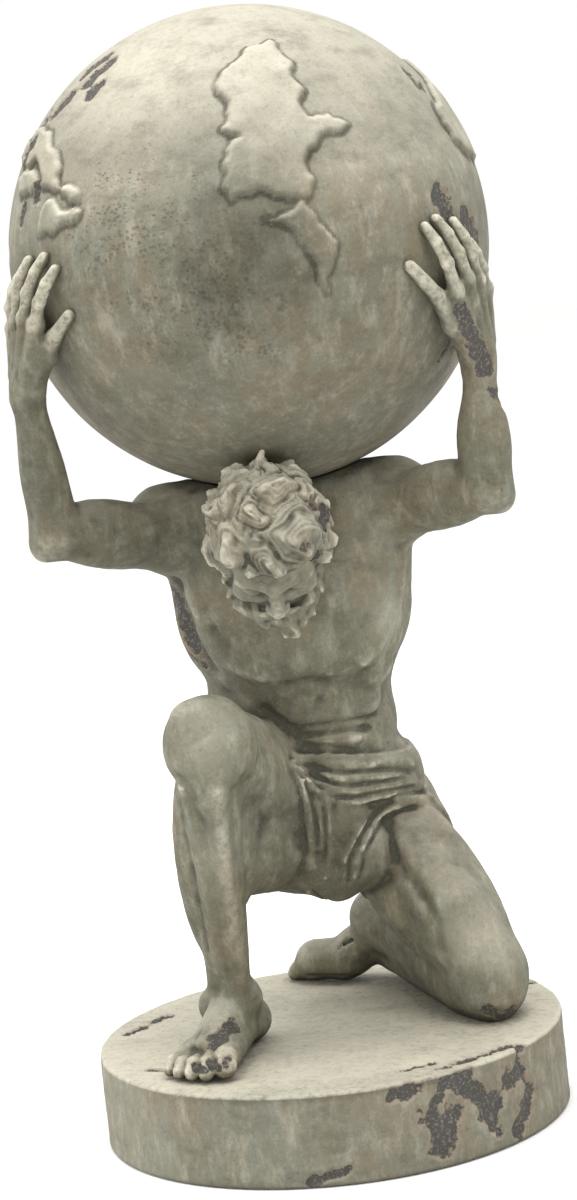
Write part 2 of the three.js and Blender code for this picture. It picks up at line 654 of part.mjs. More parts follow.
// Between plain arrays, three.js geometry and solids
function solidFrom({ places, faces }) {
  const mesh = new Mesh({
    numProp: 3,
    vertProperties: Float32Array.from(places),
    triVerts: Uint32Array.from(faces),
  });
  return new Manifold(mesh);
}

function solidOf(geometry) {
  const bare = geometry.clone();
  bare.deleteAttribute('normal');
  bare.deleteAttribute('uv');
  const merged = mergeVertices(bare, 1e-3);
  return solidFrom({ places: merged.attributes.position.array, faces: merged.index.array });
}

function meshOf(solid, name, material) {
  const { vertProperties, triVerts } = solid.getMesh();
  const geometry = new THREE.BufferGeometry();
  geometry.setAttribute('position', new THREE.BufferAttribute(vertProperties, 3));
  geometry.setIndex(new THREE.BufferAttribute(triVerts, 1));
  geometry.computeVertexNormals();
  const mesh = new THREE.Mesh(geometry, material);
  mesh.name = name;
  return mesh;
}

function largest(solid) {
  const bodies = solid.decompose();
  return bodies.reduce((a, b) => (b.volume() > a.volume() ? b : a));
}

// The globe: a ball with low raised lands
function ball(radius) {
  const geometry = new THREE.IcosahedronGeometry(radius, 8);
  geometry.translate(...GLOBE_CENTRE);
  return solidOf(geometry);
}

// Outlines in degrees: bearing from the front to the viewer's right, height above the middle
const LANDS = [
  [[17, 55], [4, 50], [-4, 42], [-1, 37], [-4, 30], [1, 27], [-3, 24], [-3, 13], [4, 15],
    [10, 12], [15, 13], [16, 21], [21, 25], [30, 27], [19, 31], [21, 38], [19, 50]],
  [[4, 7], [12, 11], [16, 6], [20, 0], [18, -3], [17, -11], [15, -3], [11, 3]],
  [[70, 40], [66, 30], [69, 21], [85, 14], [104, 20], [110, 34], [92, 44]],
  [[-60, 30], [-46, 21], [-41, 13], [-49, 11], [-57, 16], [-64, 8], [-78, 10], [-92, 24], [-80, 36]],
  [[132, 46], [150, 54], [176, 50], [190, 38], [182, 24], [168, 14], [160, -4], [150, -14],
    [146, 4], [136, 18], [126, 30]],
  [[206, 10], [222, 18], [236, 8], [232, -10], [220, -24], [208, -12]],
];

function bearingVector([bearing, height]) {
  const b = (bearing * Math.PI) / 180;
  const h = (height * Math.PI) / 180;
  return [Math.sin(b) * Math.cos(h), -Math.cos(b) * Math.cos(h), Math.sin(h)];
}

// One land: its outline seen from outside, drawn through the skin of a slightly larger ball
function landPlate(outline, outer) {
  const directions = outline.map(bearingVector);
  const axis = unit(directions.reduce((a, b) => plus(a, b), [0, 0, 0]));
  const across = unit(cross([0, 0, 1], axis));
  const up = cross(axis, across);
  const points = directions.map((d) => {
    const s = GLOBE_RADIUS / dot(d, axis);
    return new THREE.Vector2(dot(d, across) * s, dot(d, up) * s);
  });
  const depth = GLOBE_RADIUS;
  const geometry = new THREE.ExtrudeGeometry(new THREE.Shape(points), { depth, bevelEnabled: false });
  const place = geometry.attributes.position;
  for (let i = 0; i < place.count; i += 1) {
    const [x, y, z] = [place.getX(i), place.getY(i), place.getZ(i)];
    const s = z > depth / 2 ? 1.3 : 0.7;
    const p = plus(plus(times(across, x), up, y), axis, GLOBE_RADIUS);
    const q = plus(GLOBE_CENTRE, p, s);
    place.setXYZ(i, ...q);
  }
  return outer.intersect(solidOf(geometry));
}

function buildGlobe() {
  const outer = ball(GLOBE_RADIUS + LAND_RELIEF);
  return LANDS.reduce((globe, outline) => globe.add(landPlate(outline, outer)), ball(GLOBE_RADIUS));
}

// The plinth: an oval slab with a softened top edge
function buildPlinth() {
  const shape = new THREE.Shape();
  for (let i = 0; i < PLINTH_SIDES; i += 1) {
    const t = (2 * Math.PI * i) / PLINTH_SIDES;
    const x = (PLINTH_HALF_WIDTH - PLINTH_EDGE) * Math.cos(t);
    const y = (PLINTH_HALF_DEPTH - PLINTH_EDGE) * Math.sin(t);
    if (i) shape.lineTo(x, y);
    else shape.moveTo(x, y);
  }
  const geometry = new THREE.ExtrudeGeometry(shape, {
    depth: PLINTH_HEIGHT - 2 * PLINTH_EDGE,
    bevelEnabled: true,
    bevelThickness: PLINTH_EDGE,
    bevelSize: PLINTH_EDGE,
    bevelSegments: 1,
  });
  geometry.translate(0, 0, PLINTH_EDGE);
  return solidOf(geometry);
}

// The figure: clay forms drawn as one skin, then trimmed to the globe and the plinth
function buildFigure() {
  const armEnd = (hand) => {
    const p = minus(onGlobe(hand.wrist, hand.wristLift), [0, 0, TOP]);
    return times(p, 1 / UNIT);
  };
  shapeTrunk();
  shapeShoulders();
  shapeArm([-60, -6, 275], [-114, -50, 288], armEnd(RIGHT_HAND), 11);
  shapeArm([68, -6, 279], [111, -50, 288], armEnd(LEFT_HAND), 14);
  shapeStandingLeg();
  shapeKneelingLeg();
  shapeCloth();
  shapeHead();
  shapeBeard();
  shapeHair();
  shapeHand(RIGHT_HAND);
  shapeHand(LEFT_HAND);
  const reach = GLOBE_RADIUS + 26 * UNIT;
  const low = [GLOBE_CENTRE[0] - reach, -118 * UNIT, TOP - 8 * UNIT];
  const high = [GLOBE_CENTRE[0] + reach, 142 * UNIT, GLOBE_CENTRE[2] + 30 * UNIT];
  const body = solidFrom(thinned(skin(sampleClay(low, high, CLAY_STEP * UNIT)), FIGURE_TRIANGLES));
  const room = new THREE.BoxGeometry(4 * reach, 4 * reach, 100 * UNIT);
  room.translate(0, 0, TOP - 50 * UNIT);
  return largest(body.subtract(ball(GLOBE_RADIUS + GAP)).subtract(solidOf(room)));
}

const group = new THREE.Group();
group.add(meshOf(buildPlinth(), 'plinth', colours.plinth));
group.add(meshOf(buildFigure(), 'figure', colours.figure));
group.add(meshOf(buildGlobe(), 'globe', colours.globe));
export default group;
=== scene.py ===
import math

import bpy
import numpy as np
from bpy.props import FloatProperty, FloatVectorProperty, IntProperty, PointerProperty
from mathutils import Matrix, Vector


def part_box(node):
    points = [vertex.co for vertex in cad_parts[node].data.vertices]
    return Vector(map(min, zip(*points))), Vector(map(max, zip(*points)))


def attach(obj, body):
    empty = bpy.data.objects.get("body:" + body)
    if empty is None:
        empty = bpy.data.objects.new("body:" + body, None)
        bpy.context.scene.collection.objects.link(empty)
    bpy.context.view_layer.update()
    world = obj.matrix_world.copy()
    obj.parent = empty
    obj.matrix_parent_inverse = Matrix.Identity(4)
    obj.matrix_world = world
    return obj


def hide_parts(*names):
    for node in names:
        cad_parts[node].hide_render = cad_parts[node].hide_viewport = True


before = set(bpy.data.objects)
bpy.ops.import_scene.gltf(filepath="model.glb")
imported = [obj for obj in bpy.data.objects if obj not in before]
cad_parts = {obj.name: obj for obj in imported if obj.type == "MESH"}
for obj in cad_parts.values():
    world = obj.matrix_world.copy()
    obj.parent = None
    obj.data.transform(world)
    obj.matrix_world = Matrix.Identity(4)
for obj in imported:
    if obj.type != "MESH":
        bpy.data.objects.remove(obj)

bl_info = {
    "name": "Kneeling globe bearer",
    "version": (1, 0, 0),
    "blender": (4, 5, 0),
    "location": "3D View > Sidebar > Statue",
    "description": "A kneeling bearded figure in aged cast stone that carries a globe on an oval plinth",
    "category": "Add Mesh",
}

MM = 0.001

# Everything is drawn in millimetres, in the frame's own axes, and turned to metres at the end.
PLINTH_LOW, PLINTH_HIGH = (np.array(corner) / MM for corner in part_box("plinth"))
GLOBE_LOW, GLOBE_HIGH = (np.array(corner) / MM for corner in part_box("globe"))
JOINT = 0.3                              # width of the joint line between two castings
TOP = PLINTH_HIGH[2] + JOINT             # the figure's lowest level
GLOBE_CENTRE = np.array([1.8, 5.0, (GLOBE_LOW[2] + GLOBE_HIGH[2]) / 2])
SEAT_RADIUS = 127.0                      # the figure is hollowed to this ball, plus the joint
GLOBE_SKIN = (GLOBE_HIGH[2] - GLOBE_LOW[2]) / 2


def linear(code):
    """Turn an sRGB hex colour into the linear colour that Blender works in."""
    parts = [int(code[i:i + 2], 16) / 255 for i in (1, 3, 5)]
    return [p / 12.92 if p <= 0.04045 else ((p + 0.055) / 1.055) ** 2.4 for p in parts]


# Vectors and noise

def unit(v):
    v = np.asarray(v, float)
    return v / np.linalg.norm(v)


def mix(a, b, t):
    return np.asarray(a, float) * (1 - t) + np.asarray(b, float) * t


def smoothstep(low, high, x):
    t = np.clip((x - low) / (high - low), 0, 1)
    return t * t * (3 - 2 * t)


def cell_corners(shares):
    """Each corner of a cell, with its weight for points that lie these shares of the way across it."""
    for dx in (0, 1):
        for dy in (0, 1):
            for dz in (0, 1):
                weight = (
                    (shares[:, 0] if dx else 1 - shares[:, 0])
                    * (shares[:, 1] if dy else 1 - shares[:, 1])
                    * (shares[:, 2] if dz else 1 - shares[:, 2])
                )
                yield (dx, dy, dz), weight


def noise(points, size, seed):
    """Smooth random values from -1 to 1 at points in millimetres, with lumps about size wide."""
    cells_across = 32
    above_zero = 512.0
    lattice = np.random.default_rng(seed).uniform(-1, 1, (cells_across,) * 3).astype(np.float32)
    q = np.asarray(points, float) / size + above_zero
    cell = np.floor(q).astype(int)
    f = q - cell
    f = f * f * (3 - 2 * f)
    total = np.zeros(len(q))
    for step, weight in cell_corners(f):
        corner = (cell + step) % cells_across
        total += weight * lattice[corner[:, 0], corner[:, 1], corner[:, 2]]
    return total


def curve_through(points, steps=4):
    """A smooth curve through points, with that many steps from one point to the next."""
    p = [np.asarray(q, float) for q in points]
    p = [2 * p[0] - p[1], *p, 2 * p[-1] - p[-2]]
    line = []
    for i in range(1, len(p) - 2):
        for j in range(steps):
            t = j / steps
            a = 2 * p[i]
            b = (p[i + 1] - p[i - 1]) * t
            c = (2 * p[i - 1] - 5 * p[i] + 4 * p[i + 1] - p[i + 2]) * t * t
            d = (3 * p[i] - p[i - 1] - 3 * p[i + 1] + p[i + 2]) * t ** 3
            line.append((a + b + c + d) / 2)
    line.append(p[-2])
    return line


# Clay: the figure is laid on a grid, form by form, and its skin is drawn at the end

def bone_field(a, b, ra, rb):
    ax, ay, az = (float(v) for v in a)
    bx, by, bz = (float(v) for v in np.asarray(b, float) - np.asarray(a, float))
    length2 = max(bx * bx + by * by + bz * bz, 1e-9)

    def field(x, y, z):
        px, py, pz = x - ax, y - ay, z - az
        t = np.clip((px * bx + py * by + pz * bz) / length2, 0, 1)
        qx, qy, qz = px - bx * t, py - by * t, pz - bz * t
        return np.sqrt(qx * qx + qy * qy + qz * qz) - ra - (rb - ra) * t

    return field


def bone_box(a, b, ra, rb):
    a, b = np.asarray(a, float), np.asarray(b, float)
    return np.minimum(a - ra, b - rb), np.maximum(a + ra, b + rb)


def lump_field(centre, sizes, axes):
    cx, cy, cz = (float(v) for v in centre)
    e, f, g = ([float(v) for v in axis] for axis in axes)
    ra, rb, rc = (float(v) for v in sizes)

    def field(x, y, z):
        px, py, pz = x - cx, y - cy, z - cz
        u = (px * e[0] + py * e[1] + pz * e[2]) / ra
        v = (px * f[0] + py * f[1] + pz * f[2]) / rb
        w = (px * g[0] + py * g[1] + pz * g[2]) / rc
        k0 = np.sqrt(u * u + v * v + w * w)
        k1 = np.sqrt((u / ra) ** 2 + (v / rb) ** 2 + (w / rc) ** 2) + 1e-6
        return k0 * (k0 - 1) / k1

    return field


SQUARE = np.eye(3)
EMPTY = 40.0                             # distance to the skin where no clay lies yet
IN_FRONT = 60.0                          # forms are laid on from this far in front of the middle
WELL_IN_FRONT = 120.0                    # and from this far where the clay reaches further forward


class Clay:
    """Distances to the skin of all the clay laid on so far, on a square grid in millimetres."""

    def __init__(self, low, high, step):
        self.low = np.array(low, float)
        self.step = step
        self.count = np.ceil((np.array(high) - self.low) / step).astype(int) + 1
        self.values = np.full(self.count, EMPTY, np.float32)
        self.lines = [
            (self.low[a] + step * np.arange(self.count[a])).astype(np.float32) for a in range(3)
        ]

    def block(self, low, high, beyond=0):
        """The block of the grid between two corners, and the places along its three edges."""
        first = np.clip(np.floor((low - self.low) / self.step).astype(int), 0, self.count)
        last = np.clip(np.ceil((high - self.low) / self.step).astype(int) + beyond, 0, self.count)
        span = tuple(slice(a, b) for a, b in zip(first, last))
        x = self.lines[0][span[0], None, None]
        y = self.lines[1][None, span[1], None]
        z = self.lines[2][None, None, span[2]]
        return span, x, y, z

    def put(self, box, field, blend, cut=False):
        """Add a form to the clay, or cut it away, with a soft join that is blend wide."""
        margin = blend + 2.5 * self.step
        span, x, y, z = self.block(box[0] - margin, box[1] + margin, 1)
        d = self.values[span]
        if not d.size:
            return
        e = field(x, y, z)
        if cut:
            h = np.maximum(blend - np.abs(d + e), 0)
            self.values[span] = np.maximum(d, -e) + h * h * (0.25 / blend)
        else:
            h = np.maximum(blend - np.abs(d - e), 0)
            self.values[span] = np.minimum(d, e) - h * h * (0.25 / blend)

    # Forms in the figure's own millimetres, with heights above the plinth's top
    def bone(self, a, b, ra, rb, blend=6, cut=False):
        a, b = at(a), at(b)
        self.put(bone_box(a, b, ra, rb), bone_field(a, b, ra, rb), blend, cut)

    def lump(self, centre, sizes, blend=6, axes=SQUARE, cut=False):
        centre = at(centre)
        reach = np.sqrt(sum((np.asarray(axis) * s) ** 2 for axis, s in zip(axes, sizes)))
        self.put((centre - reach, centre + reach), lump_field(centre, sizes, axes), blend, cut)

    def muscle(self, a, b, width, depth, facing, blend=6, cut=False):
        a, b = np.asarray(a, float), np.asarray(b, float)
        along = unit(b - a)
        out = unit(np.asarray(facing, float) - np.dot(facing, along) * along)
        sizes = [np.linalg.norm(b - a) / 2, width, depth]
        self.lump(mix(a, b, 0.5), sizes, blend, [along, np.cross(out, along), out], cut)

    def run(self, points, ra, rb, blend=3, cut=False, steps=4):
        """A tube or groove along a smooth curve, its thickness going from ra to rb."""
        line = [at(p) for p in (curve_through(points, steps) if len(points) > 2 else points)]
        last = len(line) - 1
        radii = [ra + (rb - ra) * i / last for i in range(last + 1)]
        fields = [
            bone_field(line[i], line[i + 1], radii[i], radii[i + 1]) for i in range(last)
        ]
        widest = max(ra, rb)
        box = (np.min(line, axis=0) - widest, np.max(line, axis=0) + widest)

        def field(x, y, z):
            d = fields[0](x, y, z)
            for one in fields[1:]:
                d = np.minimum(d, one(x, y, z))
            return d

        self.put(box, field, blend, cut)

    def wrap(self, low, high, thickness, edges):
        """Lay cloth of one thickness over the clay so far, inside the given planes."""
        low, high = at(low), at(high)
        planes = [(at(point), unit(normal)) for point, normal in edges]
        span, x, y, z = self.block(low, high)
        cloth = self.values[span] - thickness
        for p, n in planes:
            cloth = np.maximum(cloth, (x - p[0]) * n[0] + (y - p[1]) * n[1] + (z - p[2]) * n[2])
        self.values[span] = np.minimum(self.values[span], cloth)

    def laid(self, points, towards=(0, 1, 0), sink=0.0, start=IN_FRONT):
        """Press points on to the clay along a direction, and sink them that far in."""
        most_steps, touching, furthest = 300, 0.02, 60
        towards = unit(towards)
        found = []
        for p in points:
            spot = at(p) - towards * start
            nearest, best = spot, math.inf
            for _ in range(most_steps):
                d = sampled(self.values, self.low, self.step, spot[None])[0]
                if d < best:
                    nearest, best = spot, d
                if d < touching or np.dot(spot - at(p), towards) > furthest:
                    break
                spot = spot + towards * min(max(d * 0.7, 0.08), 2.0)
            found.append(nearest + towards * sink - [0, 0, TOP])
        return found

    def trace(self, line, ra, rb, blend, cut=False, sink=0.0, start=IN_FRONT):
        """A roll or groove along a line that is laid on from the front, its places across and up."""
        points = [[across, 0, height] for across, height in line]
        self.run(self.laid(points, sink=sink, start=start), ra, rb, blend, cut)


def at(p):
    return np.array([p[0], p[1], p[2] + TOP], float)


def ring(centre, a, b, start=0, end=360, count=14):
    centre, a, b = (np.asarray(v, float) for v in (centre, a, b))
    turns = np.radians(np.linspace(start, end, count + 1))
    return [centre + a * math.cos(t) + b * math.sin(t) for t in turns]


# The body

def shape_trunk(clay):
    clay.lump([18, 46, 113], [40, 29, 31], 10)
    clay.lump([-7, 54, 98], [27, 27, 30], 12)
    clay.lump([40, 56, 97], [23, 23, 27], 12)
    clay.lump([4, 23, 170], [48, 27, 42], 14)
    clay.lump([4.5, 6, 226], [61, 34, 50], 14)
    clay.bone([-36, 4, 266], [46, 4, 268], 25, 25, 16)
    # shoulder blades, the long muscles beside the spine, the flanks
    clay.muscle([-42, 24, 266], [-24, 34, 226], 20, 9, [-0.2, 1, 0], 14)
    clay.muscle([52, 24, 268], [34, 34, 228], 20, 9, [0.2, 1, 0], 14)
    clay.muscle([-6, 32, 262], [4, 54, 150], 12, 9, [0, 1, 0], 16)
    clay.muscle([16, 32, 262], [28, 54, 150], 12, 9, [0, 1, 0], 16)
    clay.muscle([-50, 10, 266], [-32, 30, 180], 16, 10, [-0.8, 0.5, 0], 14)
    clay.muscle([62, 10, 270], [43, 30, 180], 16, 10, [0.8, 0.5, 0], 14)
    clay.run([[5, 47, 262], [6, 50, 226], [11, 55, 186], [17, 72, 140]], 3, 3.5, 9, True)
    # chest
    clay.muscle([-2, -27, 234], [-50, -10, 248], 19, 11, [-0.1, -1, 0], 7)
    clay.muscle([14, -27, 235], [62, -10, 251], 19, 11, [0.1, -1, 0], 7)
    clay.run([[6, -39, 248], [6, -38, 222]], 2, 2, 6, True)
    clay.lump([-25, -33.5, 226], [2.4, 1.8, 2.4], 1.2)
    clay.lump([37, -33.5, 227], [2.4, 1.8, 2.4], 1.2)
    # belly in soft rolls
    clay.lump([8, -18, 207], [33, 9, 15], 12)
    clay.lump([10, -3, 176], [33, 8, 16], 15)
    clay.lump([12, 2, 156], [28, 10, 9], 6)
    clay.lump([36, -2, 179], [8, 6, 7], 7)
    clay.lump([23, -5, 156], [11, 4, 4], 5)
    # ribs and flank muscles
    for i in range(4):
        z = 230 - 13 * i
        clay.muscle([62 - i * 3, -4, z + 4], [46 - i * 2, -20 + i * 2, z - 4], 4.6, 3.4, [1, -0.5, 0], 8)
    clay.lump([-33, 18, 172], [13, 20, 19], 9)
    clay.lump([42, 22, 158], [11, 20, 15], 9)
    # the creases across the belly
    creases = [
        ([(-2, 191), (8, 192.5), (18, 190)], 0.4, 9),
        ([(-16, 178), (-4, 167), (12, 166), (28, 166), (42, 167)], 0.8, 4),
        ([(-10, 166), (6, 161), (25, 161.5), (38, 160)], 0.7, 4),
        ([(-6, 157), (8, 155), (26, 151.5), (40, 149)], 0.4, 3),
    ]
    for line, r, blend in creases:
        clay.trace(line, r, r * 0.8, blend, True)
    # the sunk flank and the edge of the ribs, from the armpit round to the belly
    clay.trace([(-57, 255), (-55, 241), (-53, 228), (-49, 214), (-43, 202)], 2.4, 2.0, 8, True)
    for line in (
        [(-52, 264), (-47.5, 251), (-45.5, 236), (-41, 222), (-36, 211), (-28, 203), (-16, 198)],
        [(64, 252), (61, 236), (56, 220), (48, 208), (38, 200)],
    ):
        clay.trace(line, 3.0, 2.0, 6, sink=0.9)


def shape_shoulders(clay):
    clay.bone([3, 4, 274], [-3, -50, 274], 20, 17, 9)
    clay.bone([-54, 2, 280], [-8, -6, 280], 17, 15, 10)
    clay.bone([58, 2, 284], [14, -6, 281], 17, 15, 10)
    clay.bone([-60, 0, 285], [-34, -2, 289], 17, 16, 9)
    clay.bone([66, 0, 286], [28, -2, 290], 17, 16, 9)
    clay.lump([-57, -3, 277], [21, 21, 21], 9)
    clay.lump([65, -3, 280], [21, 21, 21], 9)


def shape_arm(clay, shoulder, elbow, wrist, thick):
    shoulder, elbow, wrist = (np.asarray(p, float) for p in (shoulder, elbow, wrist))
    side = np.sign(elbow[0])
    middle = mix(shoulder, elbow, 0.5)
    clay.bone(shoulder, elbow, 17, 13, 8)
    clay.muscle(shoulder + [0, -6, 9], mix(shoulder, elbow, 0.62), 14, 12, [0, -0.4, 1], 6)
    clay.muscle(middle + [side * -16, 8, 7], elbow + [side * -4, 2, 8], 11, 10, [0, -0.2, 1], 5)
    clay.muscle(shoulder + [side * 6, 0, -8], elbow + [side * -2, 4, -7], 11, 10, [0, 0.3, -1], 5)
    clay.bone(elbow, wrist, 12.5, 8.4, 6)
    clay.muscle(elbow + [0, 0, -4], mix(elbow, wrist, 0.78), thick, thick * 0.86, [0, -1, 0], 6)
    clay.lump(elbow + [side * 7, 3, -7], [7, 8, 7], 5)
    clay.run([middle + [side * -14, -15, 1], elbow + [side * -12, -13, 0]], 1, 1, 4, True)


# Places on the globe are given by bearing, from the front to the viewer's right, and height

def bearing_vector(bearing, height):
    b, h = math.radians(bearing), math.radians(height)
    return np.array([math.sin(b) * math.cos(h), -math.cos(b) * math.cos(h), math.sin(h)])


def on_globe(place, lift):
    return GLOBE_CENTRE + bearing_vector(*place) * (SEAT_RADIUS + lift) - [0, 0, TOP]


RIGHT_HAND = {
    "wrist": (-64, -24.5),
    "wrist_lift": 22,
    "heel": (-63.5, -19.5),
    "middle": (-63, -11),
    "fingers": [
        ((-57.5, -10.5), (-50, 1.2)),
        ((-61.5, -9), (-54, 4)),
        ((-66, -9.5), (-61, 3.4)),
        ((-70.5, -11.5), (-69, -0.5)),
    ],
    "thumb": [(-59, -18), (-53.5, -13.8), (-47.8, -9.4)],
}

LEFT_HAND = {
    "wrist": (61, -29),
    "wrist_lift": 18,
    "heel": (59.5, -23.5),
    "middle": (55, -14),
    "fingers": [
        ((50, -12.5), (43.6, 2)),
        ((54, -10.5), (47.6, 3.2)),
        ((58.5, -11), (54, 2)),
        ((63, -13.5), (60.5, -3)),
    ],
    "thumb": [(52, -20.5), (45.5, -13.5), (38, -6.2)],
}


FINGER_RADII = (3.9, 4.1, 3.9, 3.5)


def shape_hand(clay, hand):
    wrist = on_globe(hand["wrist"], hand["wrist_lift"])
    heel = on_globe(hand["heel"], hand["wrist_lift"] * 0.62)
    clay.bone(wrist, heel, 8.6, 8.5, 5)
    for i, (knuckle, tip) in enumerate(hand["fingers"]):
        base = on_globe(knuckle, 8.5)
        spread = on_globe(knuckle, 0) - on_globe(hand["middle"], 0)
        root = mix(wrist, base, 0.12) + spread * 0.25
        clay.bone(root, base, 6.4, 4.6, 4)
        second = on_globe(mix(knuckle, tip, 0.42), 8.2)
        third = on_globe(mix(knuckle, tip, 0.74), 5.6)
        end = on_globe(tip, 2)
        thick = FINGER_RADII[i]
        outward = base - at_centre()
        clay.lump(base + outward * 0.004, [4.9, 4.9, 4.9], 2)
        clay.bone(base, second, thick, thick * 0.88, 1.4)
        clay.lump(second, [thick * 1.02] * 3, 1)
        clay.bone(second, third, thick * 0.9, thick * 0.8, 1)
        clay.bone(third, end, thick * 0.86, thick * 0.78, 1)
        # the tendon over the back of the hand
        clay.run([mix(root, base, 0.25) + outward * 0.045, base + outward * 0.022], 1.2, 1.4, 2.5)
    ball = on_globe(hand["thumb"][0], 7.5)
    joint = on_globe(hand["thumb"][1], 5.5)
    tip = on_globe(hand["thumb"][2], 2.4)
    clay.bone(mix(wrist, heel, 0.6), ball, 8, 6.2, 5)
    clay.bone(ball, joint, 5.6, 4.2, 3)
    clay.bone(joint, tip, 4.3, 3.4, 1.5)


def at_centre():
    return GLOBE_CENTRE - [0, 0, TOP]


# The standing leg, knee up and foot flat

def shape_standing_leg(clay):
    clay.bone([-5, 44, 100], [-47, -64, 172], 31, 20, 12)
    clay.muscle([-4, 26, 136], [-46, -66, 188], 17, 13, [0, -0.3, 1], 8)
    clay.muscle([8, 34, 102], [-34, -52, 160], 15, 13, [1, -0.2, 0.2], 8)
    clay.muscle([-2, 50, 80], [-42, -44, 144], 17, 14, [0, 0, -1], 9)
    clay.bone([-36, -14, 106], [2, 44, 95], 27, 27, 8)
    # knee
    clay.lump([-47, -64, 175], [22, 18, 22], 9)
    clay.lump([-54, -74, 187], [11, 8, 10], 8)
    clay.lump([-62, -68, 171], [7, 12, 13], 6)
    clay.lump([-33, -67, 169], [9, 12, 14], 6)
    clay.lump([-49, -76, 149], [8, 6, 10], 9)
    clay.bone([-49, -64, 164], [-51, -33, 32], 16, 11.5, 9)
    clay.muscle([-53, -50, 162], [-53, -24, 62], 16.5, 15, [0, 1, 0], 7)
    clay.muscle([-60, -58, 158], [-58, -30, 50], 9, 9, [-1, 0, 0], 6)
    clay.bone([-46, -79, 150], [-47, -42, 38], 5.5, 5, 6)
    shin_edge = [(-61, 152), (-58, 128), (-56, 100), (-55, 71), (-55, 48)]
    clay.trace(shin_edge, 3.4, 2.4, 5, sink=2.2, start=WELL_IN_FRONT)
    beside_shin = [(-66, 143), (-64.5, 116), (-62.5, 88), (-61, 60)]
    clay.trace(beside_shin, 0.8, 0.6, 5, True, start=WELL_IN_FRONT)
    clay.muscle([-62, -54, 152], [-61, -32, 60], 9, 10, [-1, 0, 0], 6)
    # kneecap and the hollows round it
    clay.lump([-40, -76.5, 166], [10.5, 6.5, 13], 4)
    for line, ra, rb, blend in (
        ([(-54, 177), (-50, 178), (-46, 181)], 0.5, 0.3, 4),
        ([(-57, 165), (-55.5, 158), (-54, 151)], 1.3, 0.8, 6),
        ([(-64, 158), (-60, 154), (-57, 147)], 0.6, 0.4, 6),
    ):
        clay.trace(line, ra, rb, blend, True, start=WELL_IN_FRONT)
    clay.muscle([-33, -44, 150], [-41, -30, 78], 12, 9, [1, 0, 0], 6)
    clay.lump([-63.5, -30, 25], [5.5, 7, 8], 5)
    clay.lump([-40, -31, 28], [5.5, 7, 8], 5)
    # foot
    clay.bone([-51, -22, 44], [-45, -12, 14], 8, 11, 7)
    clay.lump([-44, -14, 11], [13, 14, 12], 6)
    clay.bone([-50, -30, 26], [-61, -66, 11], 13, 9.5, 7)
    clay.bone([-44, -20, 12], [-56, -74, 8], 9, 8, 6)
    clay.bone([-52, -18, 8], [-77, -62, 6.5], 10, 7.5, 6)
    toes = [
        ([-55.5, -74, 8], [-56.5, -91, 7], 7, 6.4),
        ([-64.5, -76, 7], [-66.5, -92.5, 5], 4.8, 4.4),
        ([-71, -73, 6.5], [-74.2, -88, 4.6], 4.5, 4),
        ([-76.5, -68.5, 6], [-80.6, -82, 4.3], 4.3, 3.8),
        ([-81, -62.5, 5.5], [-86, -74.5, 4], 4.2, 3.6),
    ]
    for a, b, ra, rb in toes:
        bend = mix(a, b, 0.55) + [0, 0, 2.2]
        clay.bone(a, bend, ra, ra * 0.92, 2)
        clay.bone(bend, b, ra * 0.92, rb, 1)
        nail = mix(bend, b, 0.8) + [0, 0, rb * 0.86]
        clay.lump(nail, [rb * 0.6, rb * 0.75, 0.9], 0.6)
    for i in range(4):
        root = mix(toes[i][0], [-50, -28, 34], 0.12) + [0, 0, 5]
        clay.run([root, mix(root, [-50, -30, 40], 0.6) + [0, 0, -1]], 1.6, 1.4, 4)


# The kneeling leg, knee down and foot drawn back

def shape_kneeling_leg(clay):
    clay.bone([41, 44, 102], [86, -8, 26], 31, 21, 12)
    clay.muscle([50, 24, 118], [98, -8, 36], 16, 15, [1, -0.2, 0.5], 8)
    clay.muscle([42, 14, 110], [84, -28, 34], 16, 13, [0.1, -1, 0.4], 8)
    clay.muscle([26, 30, 90], [68, -14, 32], 17, 14, [-0.9, -0.5, 0], 8)
    clay.muscle([36, 60, 86], [76, 16, 34], 17, 14, [-0.2, 1, -0.3], 9)
    clay.bone([72, -16, 62], [88, -18, 20], 18, 18, 8)
    clay.lump([88, -12, 21], [20, 21, 20], 8)
    clay.lump([88, -18, 12], [17, 22.5, 15], 6)
    clay.lump([91, -33, 24], [9, 6, 11], 5)
    # lower leg and foot, along the plinth towards the back
    clay.bone([80, -2, 16], [44, 90, 15], 20, 13, 8)
    clay.bone([80, 8, 30], [35, 84, 37], 19, 18, 8)
    clay.muscle([74, 8, 24], [40, 66, 28], 12, 11, [-0.9, -0.4, 0.1], 6)
    clay.bone([38, 88, 28], [22, 99, 18], 15, 12, 7)
    clay.lump([20, 97, 17], [11, 12, 13], 5)
    clay.bone([12, 99, 12], [-4, 106, 12], 12.5, 11, 5)
    clay.bone([-4, 106, 10], [-14, 111, 5], 9.5, 6, 5)
    for i in range(5):
        a = np.array([-8 - i * 1.0, 108 + i * 4.0, 6 - i * 0.6])
        clay.bone(a, a + [-9 + i, 3 + i * 0.6, -2.5], 4.8 - i * 0.3, 3.8 - i * 0.2, 1.5)
    clay.run([[28, 82, 26], [16, 88, 24], [8, 92, 17]], 0.9, 0.7, 2, True)
    clay.run([[24, 86, 4], [4, 92, 4.4], [-10, 100, 4]], 0.9, 0.9, 1.5, True)
    # lines between the muscles of the thigh
    clay.trace([(41, 102), (44, 89), (48, 80), (55, 71), (60, 58), (62, 42)], 1.7, 1.3, 9, True)


# Loincloth: a wrap round the hips, rolled at the waist and hemmed on each thigh

